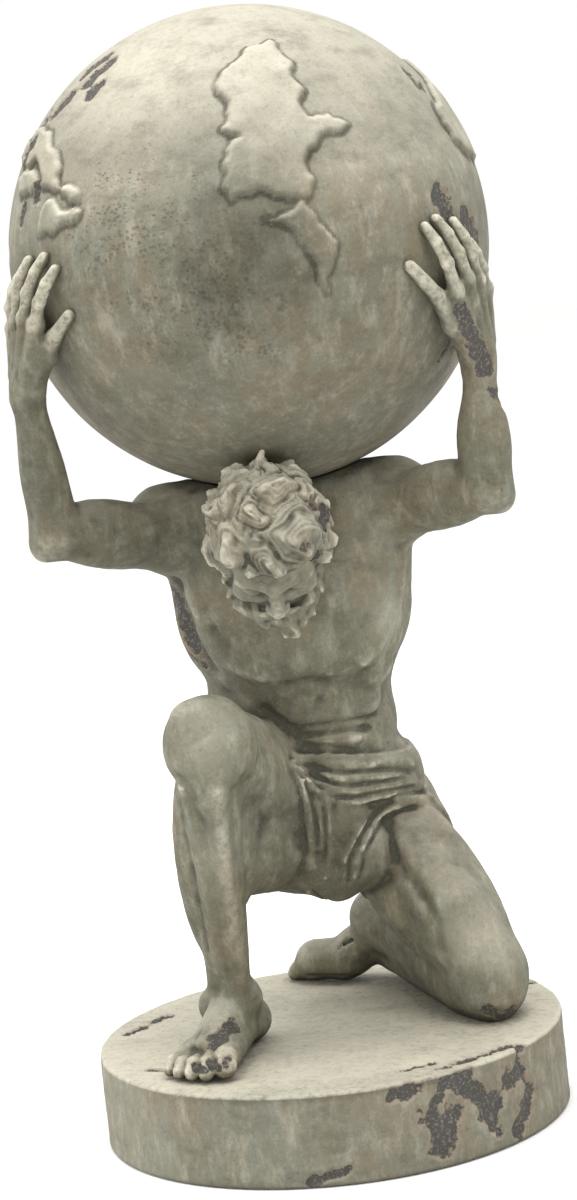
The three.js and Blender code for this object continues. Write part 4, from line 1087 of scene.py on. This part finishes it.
def aged_cast_stone(name, body, colours, bleach_and_painted_light, pits):
    """Cast stone, stone powder bound in resin and poured in a mould: matt, with a dark olive wash left in
    the hollows, cream dry-brushed on what stands out or faces up, faint brown and grey-green stains, and a
    dark core with a tan rim where it is chipped. Over this lies painted shade in the wash's colour, in the
    wider hollows between parts, on what faces down and where the painted layer says, and painted light in
    cream on what faces up and where that layer says."""
    material = bpy.data.materials.new(name)
    material.use_nodes = True
    tree = material.node_tree
    tree.nodes.clear()
    place = add(tree, "ShaderNodeTexCoord", output="Object")
    fine, middle, wide, painted_shade_and_light, chip, pitted = (
        add(tree, "ShaderNodeAttribute", output="Fac", attribute_name=layer)
        for layer in ("fine", "middle", "wide", "painted_shade_and_light", "chip", "pitted")
    )
    patterns = {}
    for key, (size, detail, roughness, drawn) in STONE_PATTERNS.items():
        vector = place
        if drawn:
            drawn_out = {"Vector": place, "Rotation": drawn[0], "Scale": drawn[1]}
            vector = add(tree, "ShaderNodeMapping", drawn_out, "Vector")
        lumps = {"Vector": vector, "Scale": 1 / (size * MM), "Detail": detail, "Roughness": roughness}
        patterns[key] = add(tree, "ShaderNodeTexNoise", lumps, "Fac")
    blots, specks, grain = patterns["blots"], patterns["specks"], patterns["grain"]
    normal = add(tree, "ShaderNodeNewGeometry", output="Normal")
    up = add(tree, "ShaderNodeSeparateXYZ", {0: normal}, "Z")

    def amount(terms, factors=()):
        """How much lies where: the terms added, times the factors. Each is what is read, from and to which
        value, and what that gives."""
        total = None
        for operation, ranges in (("ADD", terms), ("MULTIPLY", factors)):
            for read, low, high, least, most in ranges:
                share = add(tree, "ShaderNodeMapRange", {
                    "Value": read, "From Min": low, "From Max": high, "To Min": least, "To Max": most,
                }, "Result", interpolation_type="SMOOTHSTEP")
                if total is not None:
                    clamp = operation == "MULTIPLY"
                    both = {0: total, 1: share}
                    share = add(tree, "ShaderNodeMath", both, operation=operation, use_clamp=clamp)
                total = share
        return total

    # the wash lies in hollows of all widths, thinner or thicker with the blots; it is also painted shade in
    # the wider hollows between parts, where the figure meets the globe and the plinth, on what faces down,
    # and where the painted shade layer says
    hollows = [(fine, 0.515, 0.66, 0, 0.75), (middle, 0.52, 0.72, 0, 0.6), (wide, 0.50, 0.76, 0, 0.5)]
    wash_and_painted_shade = amount(hollows, [(blots, 0.32, 0.68, 0.6, 1.25)])
    for more in (amount([(up, 0.15, -0.75, 0, 0.42)]), painted_shade_and_light):
        wash_and_painted_shade = add(tree, "ShaderNodeMath", {0: wash_and_painted_shade, 1: more}, operation="ADD")
    wash_and_painted_shade = add(tree, "ShaderNodeMath", {0: wash_and_painted_shade, 1: WASH_AND_SHADE_STRENGTH}, operation="MULTIPLY", use_clamp=True)
    ragged = {0: chip, 1: amount([(specks, 0.3, 0.7, -0.15, 0.15)])}
    broken = add(tree, "ShaderNodeMath", ragged, operation="ADD")
    core_grains = {0: amount([(grain, 0.52, 0.66, 0, 1)]), 6: colours.core, 7: colours.flecks}
    core = add(tree, "ShaderNodeMix", core_grains, 2, data_type="RGBA")

    coats = [
        # brown and grey-green patches, and faint runs down the sides
        (amount([(patterns["stains"], 0.42, 0.62, 0, 0.6)]), colours.stain),
        (amount([(patterns["streaks"], 0.45, 0.68, 0, 0.5)]), colours.damp),
        # bleached, and painted light, where it faces up
        (amount([(up, 0.0, 0.95, 0, bleach_and_painted_light)], [(blots, 0.3, 0.7, 0.75, 1.15)]), colours.brush),
        # soft brush strokes, pale and dark
        (amount([(patterns["strokes_down"], 0.46, 0.72, 0, 0.26)]), colours.brush),
        (amount([(patterns["strokes_across"], 0.54, 0.30, 0, 0.36)]), colours.wash),
        (wash_and_painted_shade, colours.wash),
        # painted light in cream where the painted shade and light layer is below 0
        (amount([(painted_shade_and_light, -0.03, -0.5, 0, 0.5)]), colours.brush),
        # the dry brush catches the ridges, broken by the specks
        (amount([(fine, 0.475, 0.39, 0, 0.42), (middle, 0.43, 0.30, 0, 0.42)],
                [(specks, 0.34, 0.60, 0.35, 1.0)]), colours.brush),
        # dirt in the grain, and pale powder on it
        (amount([(grain, 0.50, 0.30, 0, 0.14), (specks, 0.46, 0.30, 0, 0.2)]), colours.wash),
        (amount([(grain, 0.54, 0.72, 0, 0.06), (specks, 0.54, 0.76, 0, 0.08)]), colours.brush),
        # chips: a tan rim round a dark core
        (amount([(broken, 0.22, 0.44, 0, 0.5)]), colours.rim),
        (amount([(broken, 0.47, 0.56, 0, 0.96)]), core),
    ]
    height = 0.0
    for pattern, share in ((grain, 0.16), (blots, 0.7), (specks, 0.38)):
        height = add(tree, "ShaderNodeMath", {0: pattern, 1: share, 2: height}, operation="MULTIPLY_ADD")
    if pits:
        spacing = {"Vector": place, "Scale": 1 / (PIT_SPACING * MM)}
        holes = add(tree, "ShaderNodeTexVoronoi", spacing, "Distance")
        here = amount([(pitted, 0.2, 0.7, 0, 1)], [(blots, 0.40, 0.56, 0, 1)])
        sunk = {0: amount([(holes, 0.14, 0.5, -1.1 * pits, 0.0)]), 1: here, 2: height}
        height = add(tree, "ShaderNodeMath", sunk, operation="MULTIPLY_ADD")
        darkened = {0: amount([(holes, 0.12, 0.46, 0.36, 0.0)]), 1: here}
        coats.append((add(tree, "ShaderNodeMath", darkened, operation="MULTIPLY"), colours.wash))
    colour = body
    for share, over in coats:
        colour = add(tree, "ShaderNodeMix", {0: share, 6: colour, 7: over}, 2, data_type="RGBA")
    bump = add(tree, "ShaderNodeBump", {"Height": height, "Strength": 0.7, "Distance": 1.0 * MM})
    roughness = amount([(blots, 0.3, 0.7, 0.66, 0.9)])
    shader = add(tree, "ShaderNodeBsdfPrincipled", {
        "Base Color": colour, "Roughness": roughness, "Normal": bump,
    })
    add(tree, "ShaderNodeOutputMaterial", {"Surface": shader})
    return material


# Sizes and colours that a user would change

class StatueSizes(bpy.types.PropertyGroup):
    clay_step: FloatProperty(
        name="Clay step", description="Grid spacing that the figure is modelled on",
        default=1.25 * MM, min=0.8 * MM, max=5 * MM, unit="LENGTH", precision=5,
    )
    head_step: FloatProperty(
        name="Head step", description="Grid spacing that the head is modelled on",
        default=0.7 * MM, min=0.5 * MM, max=3 * MM, unit="LENGTH", precision=5,
    )
    head_triangles: IntProperty(
        name="Head triangles", description="Most triangles in the finished head",
        default=150000, min=20000, max=199000,
    )
    figure_triangles: IntProperty(
        name="Figure triangles", description="Most triangles in the finished figure",
        default=194000, min=20000, max=199000,
    )
    land_relief: FloatProperty(
        name="Land relief", description="How far the lands stand out of the globe",
        default=2.3 * MM, min=0.0, max=4 * MM, unit="LENGTH", precision=5,
    )
    plinth_edge: FloatProperty(
        name="Plinth edge", description="Radius of the plinth's softened rims",
        default=2.5 * MM, min=0.5 * MM, max=10 * MM, unit="LENGTH", precision=5,
    )


class StatueColours(bpy.types.PropertyGroup):
    figure_body: FloatVectorProperty(
        name="Figure body", description="The stone of the figure", subtype="COLOR",
        size=3, min=0, max=1, default=linear("#676552"),
    )
    hair_body: FloatVectorProperty(
        name="Hair", description="Stone colour of the head, hair and beard", subtype="COLOR",
        size=3, min=0, max=1, default=linear("#837f6d"),
    )
    plinth_body: FloatVectorProperty(
        name="Plinth body", description="The stone of the plinth", subtype="COLOR",
        size=3, min=0, max=1, default=linear("#777463"),
    )
    globe_body: FloatVectorProperty(
        name="Globe body", description="The stone of the globe", subtype="COLOR",
        size=3, min=0, max=1, default=linear("#6e6b5a"),
    )
    # also the colour of the painted shade
    wash: FloatVectorProperty(
        name="Wash", description="The dark olive wash in the hollows", subtype="COLOR",
        size=3, min=0, max=1, default=linear("#3d3b2d"),
    )
    # also the colour of the painted light on what faces up and where the painted layer is below 0
    brush: FloatVectorProperty(
        name="Dry brush", description="The cream brushed over what stands out", subtype="COLOR",
        size=3, min=0, max=1, default=linear("#d9d3bf"),
    )
    core: FloatVectorProperty(
        name="Chip core", description="The bare core in the chips", subtype="COLOR",
        size=3, min=0, max=1, default=linear("#403e3b"),
    )
    flecks: FloatVectorProperty(
        name="Chip flecks", description="Paler grains in the broken core", subtype="COLOR",
        size=3, min=0, max=1, default=linear("#6f685d"),
    )
    stain: FloatVectorProperty(
        name="Brown stain", description="Brown patches in the stone", subtype="COLOR",
        size=3, min=0, max=1, default=linear("#7c7059"),
    )
    damp: FloatVectorProperty(
        name="Damp streaks", description="Grey-green runs down the sides", subtype="COLOR",
        size=3, min=0, max=1, default=linear("#7b7f71"),
    )
    rim: FloatVectorProperty(
        name="Chip rim", description="The tan rim round the chips", subtype="COLOR",
        size=3, min=0, max=1, default=linear("#8a7a66"),
    )


# The globe's lands as outlines of bearing and height. Those on the far side are of no real continent.

LANDS = [
    [(18, 56), (2, 49), (-5, 42), (-1, 37), (-4, 30), (1, 28), (-3, 25), (-3, 13), (0, 14), (4, 15),
     (10, 12), (15, 12), (16, 14), (16, 21), (21, 26), (30, 28), (19, 31), (18, 35), (21, 38), (19, 50)],
    [(4, 8), (13, 12), (16, 6), (20, 1), (19, -2), (17, -10), (15, -3), (11, 4)],
    [(-78, 35), (-64, 34), (-57, 29), (-52, 25), (-52, 22), (-49, 19), (-52, 19), (-55, 20), (-58, 20),
     (-61, 24), (-67, 27), (-70, 25), (-82, 27), (-82, 31)],
    [(-49, 20), (-46, 20), (-43, 18), (-43, 16), (-46, 16), (-49, 18)],
    [(-56, 16), (-52, 17), (-49, 14), (-47, 14), (-42, 14), (-43, 12), (-48, 11), (-52, 9), (-58, 9),
     (-57, 14)],
    [(-76, 22), (-71, 25), (-64, 24), (-60, 21), (-64, 19), (-71, 18)],
    [(85, 37), (77, 34), (68, 29), (67, 25), (69, 20), (83, 15), (104, 20), (110, 34), (92, 44), (87, 38)],
    [(69, 39), (72, 38), (71, 35), (68, 36)],
    [(132, 46), (150, 54), (176, 50), (190, 38), (182, 24), (168, 14), (160, -4), (150, -14), (146, 4),
     (136, 18), (126, 30)],
    [(206, 10), (222, 18), (236, 8), (232, -10), (220, -24), (208, -12)],
]


# painted shade over the globe's front middle, painted light up to the left and to the right
GLOBE_PAINTED_SHADE_AND_LIGHT = [((-4, 0), 56, 0.12), ((-34, 44), 46, -0.16), ((30, 24), 40, -0.1)]
GLOBE_PITTED = ((-32, 8), (-8, -13), 26)
GLOBE_SQUARES = 126                      # along each edge of the cube that the globe is blown up from


def globe_point(place):
    return GLOBE_CENTRE + bearing_vector(*place) * GLOBE_SKIN


def land_heights(directions):
    """Signed distance in millimetres from each point of the globe to the nearest shore, land positive."""
    best = np.full(len(directions), -50.0)
    for number, outline in enumerate(LANDS):
        rays = np.array([bearing_vector(*p) for p in outline])
        axis = unit(rays.sum(axis=0))
        across = unit(np.cross([0, 0, 1], axis))
        up = np.cross(axis, across)
        scale = SEAT_RADIUS / (rays @ axis)
        shore = np.stack([rays @ across * scale, rays @ up * scale], axis=1)
        rng = np.random.default_rng(40 + number)
        for _ in range(3):
            ahead = np.roll(shore, -1, axis=0)
            along = ahead - shore
            length = np.linalg.norm(along, axis=1)
            sideways = np.stack([-along[:, 1], along[:, 0]], axis=1)
            swerve = rng.normal(0, 0.11, len(shore))[:, None] * (length > 3)[:, None]
            middle = (shore + ahead) / 2 + sideways * swerve
            shore = np.stack([shore, middle], axis=1).reshape(-1, 2)
        reach = np.linalg.norm(shore, axis=1).max() + 12
        facing = directions @ axis
        near = facing > math.cos(math.atan2(reach, SEAT_RADIUS))
        d = directions[near]
        s = SEAT_RADIUS / (d @ axis)
        px, py = d @ across * s, d @ up * s
        ax, ay = shore.T
        bx, by = np.roll(shore, -1, axis=0).T
        distance = np.full(len(d), 1e9)
        crossed = np.zeros(len(d), bool)
        for i in range(len(shore)):
            ex, ey = bx[i] - ax[i], by[i] - ay[i]
            qx, qy = px - ax[i], py - ay[i]
            t = np.clip((qx * ex + qy * ey) / max(ex * ex + ey * ey, 1e-9), 0, 1)
            distance = np.minimum(distance, (qx - ex * t) ** 2 + (qy - ey * t) ** 2)
            spans = (ay[i] > py) != (by[i] > py)
            if spans.any():
                beyond = px < ex * (py - ay[i]) / (ey if abs(ey) > 1e-9 else 1e-9) + ax[i]
                crossed ^= spans & beyond
        signed = np.sqrt(distance) * np.where(crossed, 1, -1)
        best[near] = np.maximum(best[near], signed)
    return best


def cube_ball(side):
    """A ball's directions and square faces from a cube with side squares along each edge."""
    line = np.tan(np.linspace(-math.pi / 4, math.pi / 4, side + 1))
    index = {}
    directions = []
    faces = []
    for axis in range(3):
        for sign in (-1, 1):
            a, b = [k for k in range(3) if k != axis]
            grid = np.empty((side + 1, side + 1), int)
            for i in range(side + 1):
                for j in range(side + 1):
                    key = [0, 0, 0]
                    key[axis] = sign * side
                    key[a] = 2 * i - side
                    key[b] = 2 * j - side
                    key = tuple(key)
                    if key not in index:
                        index[key] = len(directions)
                        point = np.zeros(3)
                        point[axis] = sign
                        point[a] = line[i]
                        point[b] = line[j]
                        directions.append(point)
                    grid[i, j] = index[key]
            corners = [grid[:-1, :-1], grid[1:, :-1], grid[1:, 1:], grid[:-1, 1:]]
            quad = np.stack(corners, axis=-1).reshape(-1, 4)
            turned = (sign > 0) != (axis == 1)
            faces.append(quad if turned else quad[:, ::-1])
    directions = np.array(directions)
    return directions / np.linalg.norm(directions, axis=1)[:, None], np.concatenate(faces)


# One operator for each piece and one for the stage

class STATUE_OT_figure(bpy.types.Operator):
    """Model the kneeling figure in clay, take its skin and colour it as aged cast stone"""
    bl_idname = "statue.figure"
    bl_label = "Figure"

    def execute(self, context):
        sizes = context.scene.statue_sizes
        colours = context.scene.statue_colours
        clay = Clay((-136, -120, 40), (136, 144, 506), sizes.clay_step / MM)
        shape_trunk(clay)
        shape_shoulders(clay)
        right_wrist = on_globe(RIGHT_HAND["wrist"], RIGHT_HAND["wrist_lift"])
        left_wrist = on_globe(LEFT_HAND["wrist"], LEFT_HAND["wrist_lift"])
        shape_arm(clay, [-60, -6, 275], [-114, -50, 288], right_wrist, 11)
        shape_arm(clay, [68, -6, 279], [111, -50, 288], left_wrist, 14)
        shape_standing_leg(clay)
        shape_kneeling_leg(clay)
        shape_cloth(clay)
        shape_skull(clay)
        shape_hand(clay, RIGHT_HAND)
        shape_hand(clay, LEFT_HAND)
        keep_crowding(clay, CROWDING)
        chips = chips_from_front(clay, FIGURE_CHIPS)
        for start, end, width in HAND_CHIPS:
            inward = -bearing_vector(*start)
            a, b = clay.laid([on_globe(start, 10), on_globe(end, 12)], towards=inward, start=25)
            chips.append((at(a), at(b), width))
        seat_globe(clay)
        mesh = finished_skin(clay, "figure_stone", sizes.figure_triangles, chips, 1.0, CROWDING)
        stone = aged_cast_stone("aged_cast_stone_figure", colours.figure_body, colours, 0.35, 0)
        stand_piece("figure_stone", mesh, "figure", stone)
        return {"FINISHED"}


class STATUE_OT_head(bpy.types.Operator):
    """Model the head, its curls and its beard in finer clay than the rest of the figure"""
    bl_idname = "statue.head"
    bl_label = "Head"

    def execute(self, context):
        sizes = context.scene.statue_sizes
        colours = context.scene.statue_colours
        clay = Clay((-50, -122, TOP + 208), (50, 4, TOP + 330), sizes.head_step / MM)
        shape_head(clay)
        shape_beard(clay)
        shape_moustache(clay)
        shape_hair(clay)
        keep_crowding(clay, HEAD_CROWDING)
        chips = chips_from_front(clay, HEAD_CHIPS)
        seat_globe(clay)
        mesh = finished_skin(clay, "figure_head", sizes.head_triangles, chips, 0.8, HEAD_CROWDING, 0.65)
        stone = aged_cast_stone("aged_cast_stone_head", colours.hair_body, colours, 0.5, 0)
        stand_piece("figure_head", mesh, "figure", stone)
        return {"FINISHED"}


class STATUE_OT_globe(bpy.types.Operator):
    """Turn the globe, raise its lands and colour it as aged cast stone"""
    bl_idname = "statue.globe"
    bl_label = "Globe"

    def execute(self, context):
        sizes = context.scene.statue_sizes
        colours = context.scene.statue_colours
        directions, faces = cube_ball(GLOBE_SQUARES)
        shore = land_heights(directions)
        chips = [(globe_point(start), globe_point(end), width) for start, end, width in GLOBE_CHIPS]
        flat = GLOBE_CENTRE + directions * GLOBE_SKIN
        chip = chip_layer(flat, chips, 21)
        relief = sizes.land_relief / MM
        rise = relief * smoothstep(-1.6, 1.6, shore)
        rise += 0.35 * noise(flat, 9, 31) * smoothstep(0.5, 4, shore)
        # plain where the shoulders and the nape hold it
        hidden = smoothstep(-0.80, -1.0, directions[:, 2] + 0.6 * directions[:, 1])
        rise -= 0.8 * broken_out(chip)
        rise += 0.10 * noise(flat, 14, 32) - 0.10
        rise = rise * (1 - hidden)
        places = flat + directions * rise[:, None]
        mesh = mesh_from("globe_stone", places, faces)
        # crowded at the foot of each shore and proud along its top, which paints shade at the foot and a
        # highlight along the top
        foot = 0.10 * (smoothstep(-4.4, -1.8, shore) - smoothstep(-1.2, 0.8, shore))
        proud = 0.04 * (smoothstep(0.2, 1.8, shore) - smoothstep(1.8, 4.4, shore))
        for name in ("fine", "middle"):
            write_layer(mesh, name, FLAT + foot - proud)
        # painted shade where the figure crowds the globe, under the hands and the head, and a little more
        # everywhere
        write_layer(mesh, "wide", crowding("wide", places + directions * 6) + 0.12)
        # painted shade and painted light over the globe, and paler on the lands
        painted_places = [(globe_point(middle), reach, amount) for middle, reach, amount in GLOBE_PAINTED_SHADE_AND_LIGHT]
        write_layer(mesh, "painted_shade_and_light", painted_shade_and_light_at(flat, painted_places) - 0.14 * smoothstep(-0.5, 1.5, shore))
        write_layer(mesh, "chip", chip)
        start, end, width = GLOBE_PITTED
        pitted = (globe_point(start), globe_point(end), width)
        write_layer(mesh, "pitted", chip_layer(flat, [pitted], 71))
        stone = aged_cast_stone("aged_cast_stone_globe", colours.globe_body, colours, 0.92, 1.2)
        stand_piece("globe_stone", mesh, "globe", stone)
        return {"FINISHED"}


class STATUE_OT_plinth(bpy.types.Operator):
    """Shape the oval plinth with soft rims and colour it as aged cast stone"""
    bl_idname = "statue.plinth"
    bl_label = "Plinth"

    def execute(self, context):
        sizes = context.scene.statue_sizes
        colours = context.scene.statue_colours
        edge = sizes.plinth_edge / MM
        height = PLINTH_HIGH[2] - PLINTH_LOW[2]
        half_width = (PLINTH_HIGH[0] - PLINTH_LOW[0]) / 2
        half_depth = (PLINTH_HIGH[1] - PLINTH_LOW[1]) / 2
        # the outline as inset from the widest oval and height, from the underside's middle to the top's
        profile = [(half_width * 0.999, 0.0), (half_width * 0.5, 0.0)]
        for a in np.linspace(0, math.pi / 2, 5):
            profile.append((edge * (1 - math.sin(a)), edge * (1 - math.cos(a))))
        for z in np.linspace(edge, height - edge, 30)[1:-1]:
            profile.append((0.0, z))
        for a in np.linspace(0, math.pi / 2, 6):
            profile.append((edge * (1 - math.cos(a)), height - edge * (1 - math.sin(a))))
        for t in np.linspace(0, 0.985, 66)[1:]:
            profile.append((edge + (half_width - edge) * t, height))
        sides = 500
        turns = np.linspace(0, 2 * math.pi, sides, endpoint=False)
        rows = []
        for inset, z in profile:
            shrink = 1 - inset / half_width
            x = half_width * shrink * np.cos(turns)
            y = (half_depth - inset * half_depth / half_width) * np.sin(turns)
            rows.append(np.stack([x, y, np.full(sides, z)], axis=1))
        places = np.concatenate(rows)
        faces = []
        ids = np.arange(sides)
        ahead = np.roll(ids, -1)
        for row in range(len(profile) - 1):
            a, b = row * sides, (row + 1) * sides
            faces.append(np.stack([a + ids, a + ahead, b + ahead, b + ids], axis=1))
        faces = np.concatenate(faces)
        middle_low = len(places)
        places = np.concatenate([places, [[0, 0, 0], [0, 0, height]]])
        last = (len(profile) - 1) * sides
        caps = [
            np.stack([ahead, ids, np.full(sides, middle_low)], axis=1),
            np.stack([last + ids, last + ahead, np.full(sides, middle_low + 1)], axis=1),
        ]
        triangles = np.concatenate([faces[:, [0, 1, 2]], faces[:, [0, 2, 3]], *caps])
        mesh = mesh_from("plinth_stone", places, triangles)
        normals = normals_of(mesh)
        chip = chip_layer(places, PLINTH_CHIPS, 61)
        near_floor = smoothstep(0.5, 4.0, places[:, 2])
        covered = crowding("middle", places + [0, 0, 4])
        worn = 0.25 * noise(places, 12, 62) + 0.15 * noise(places, 5, 63) - 0.42
        depth = (worn - 1.4 * broken_out(chip)) * near_floor
        depth = np.where(covered > 0.6, np.minimum(depth, -0.1), depth)
        places = places + normals * depth[:, None]
        set_places(mesh, places)
        top = places[:, 2] > height - edge
        rim = np.abs(places[:, 2] - (height - edge * 0.4)) < edge * 0.5
        write_layer(mesh, "fine", np.where(rim, 0.38, FLAT))
        # painted shade on the top round the figure's feet
        write_layer(mesh, "middle", np.where(top, crowding("middle", places), FLAT))
        wide = np.where(top, crowding("wide", places), FLAT)
        # darker towards the bottom
        wide = wide + 0.12 * smoothstep(10, 0, places[:, 2])
        write_layer(mesh, "wide", wide)
        front_rim = smoothstep(-98, -124, places[:, 1]) * smoothstep(height - 7, height - 2, places[:, 2])
        left_side = smoothstep(-60, -105, places[:, 0])
        # painted light on the top and the left side, a little painted shade on the other sides, darker along
        # the front rim
        write_layer(mesh, "painted_shade_and_light", np.where(top, -0.14, 0.05 - 0.2 * left_side) + 0.5 * front_rim)
        write_layer(mesh, "chip", chip)
        stone = aged_cast_stone("aged_cast_stone_plinth", colours.plinth_body, colours, 0.62, 0)
        stand_piece("plinth_stone", mesh, "plinth", stone)
        return {"FINISHED"}


class STATUE_OT_stage(bpy.types.Operator):
    """Lay the pale floor, hang the soft lamps and set the camera where the photograph was taken"""
    bl_idname = "statue.stage"
    bl_label = "Stage"

    def execute(self, context):
        scene = context.scene
        floor_mesh = bpy.data.meshes.new("floor")
        floor_mesh.from_pydata([(-6, -6, 0), (6, -6, 0), (6, 6, 0), (-6, 6, 0)], [], [(0, 1, 2, 3)])
        floor = bpy.data.objects.new("floor", floor_mesh)
        scene.collection.objects.link(floor)
        paint = bpy.data.materials.new("matt_white_floor_paint")
        paint.use_nodes = True
        shader = paint.node_tree.nodes["Principled BSDF"]
        shader.inputs["Base Color"].default_value = (*linear("#fcfcfb"), 1)
        shader.inputs["Roughness"].default_value = 0.9
        floor_mesh.materials.append(paint)

        def lamp(name, place, aim, width, power):
            data = bpy.data.lights.new(name, "AREA")
            data.shape = "SQUARE"
            data.size = width
            data.energy = power
            holder = bpy.data.objects.new(name, data)
            scene.collection.objects.link(holder)
            back = unit(np.array(place) - np.array(aim))
            right = unit(np.cross([0, 0, 1], back))
            up = np.cross(back, right)
            rows = np.stack([right, up, back], axis=1)
            holder.matrix_world = Matrix.Translation(place) @ Matrix(rows.tolist()).to_4x4()

        lamp("key_lamp", (0.8, -1.3, 2.6), (0, 0, 0.3), 1.2, 20)
        lamp("fill_lamp", (-1.9, -0.8, 1.2), (0, 0, 0.3), 1.4, 5)
        lamp("top_lamp", (-0.2, 0.0, 2.6), (0, 0, 0.3), 1.2, 42)
        world = bpy.data.worlds.new("plain_studio")
        world.use_nodes = True
        world.node_tree.nodes["Background"].inputs["Color"].default_value = (1.0, 1.0, 1.0, 1)
        world.node_tree.nodes["Background"].inputs["Strength"].default_value = 1.0
        scene.world = world
        scene.view_settings.view_transform = "Standard"

        # the camera found from the photograph: 8 degrees down, rolled 6 degrees
        pitch, yaw, roll = 0.1393, 0.0012, -0.1081
        focal_pixels, photo_width, sensor = 3782.5, 577, 36.0
        ahead = np.array([
            math.sin(yaw) * math.cos(pitch), math.cos(yaw) * math.cos(pitch), -math.sin(pitch),
        ])
        right = np.array([math.cos(yaw), -math.sin(yaw), 0.0])
        up = np.cross(right, ahead)
        rolled_right = right * math.cos(roll) + up * math.sin(roll)
        rolled_up = up * math.cos(roll) - right * math.sin(roll)
        data = bpy.data.cameras.new("camera")
        data.sensor_fit = "HORIZONTAL"
        data.sensor_width = sensor
        data.lens = focal_pixels * sensor / photo_width
        data.clip_end = 50
        camera = bpy.data.objects.new("camera", data)
        scene.collection.objects.link(camera)
        rows = np.stack([rolled_right, rolled_up, -ahead], axis=1)
        camera.matrix_world = Matrix.Translation((0, -2.0, 0.5642)) @ Matrix(rows.tolist()).to_4x4()
        scene.camera = camera
        return {"FINISHED"}


OPERATORS = (
    STATUE_OT_figure, STATUE_OT_head, STATUE_OT_globe, STATUE_OT_plinth, STATUE_OT_stage,
)


class STATUE_PT_pieces(bpy.types.Panel):
    """Buttons for the statue's pieces, with their sizes and colours"""
    bl_label = "Kneeling globe bearer"
    bl_idname = "STATUE_PT_pieces"
    bl_space_type = "VIEW_3D"
    bl_region_type = "UI"
    bl_category = "Statue"

    def draw(self, context):
        layout = self.layout
        for operator in OPERATORS:
            layout.operator(operator.bl_idname)
        for group in (context.scene.statue_sizes, context.scene.statue_colours):
            for name in group.__annotations__:
                layout.prop(group, name)


CLASSES = (StatueSizes, StatueColours, *OPERATORS, STATUE_PT_pieces)


def register():
    for cls in CLASSES:
        bpy.utils.register_class(cls)
    bpy.types.Scene.statue_sizes = PointerProperty(type=StatueSizes)
    bpy.types.Scene.statue_colours = PointerProperty(type=StatueColours)


def unregister():
    del bpy.types.Scene.statue_colours
    del bpy.types.Scene.statue_sizes
    for cls in reversed(CLASSES):
        bpy.utils.unregister_class(cls)


def main():
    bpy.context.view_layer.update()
    register()
    bpy.ops.statue.figure()
    bpy.ops.statue.head()
    bpy.ops.statue.globe()
    bpy.ops.statue.plinth()
    bpy.ops.statue.stage()


if __name__ == "__main__":
    main()
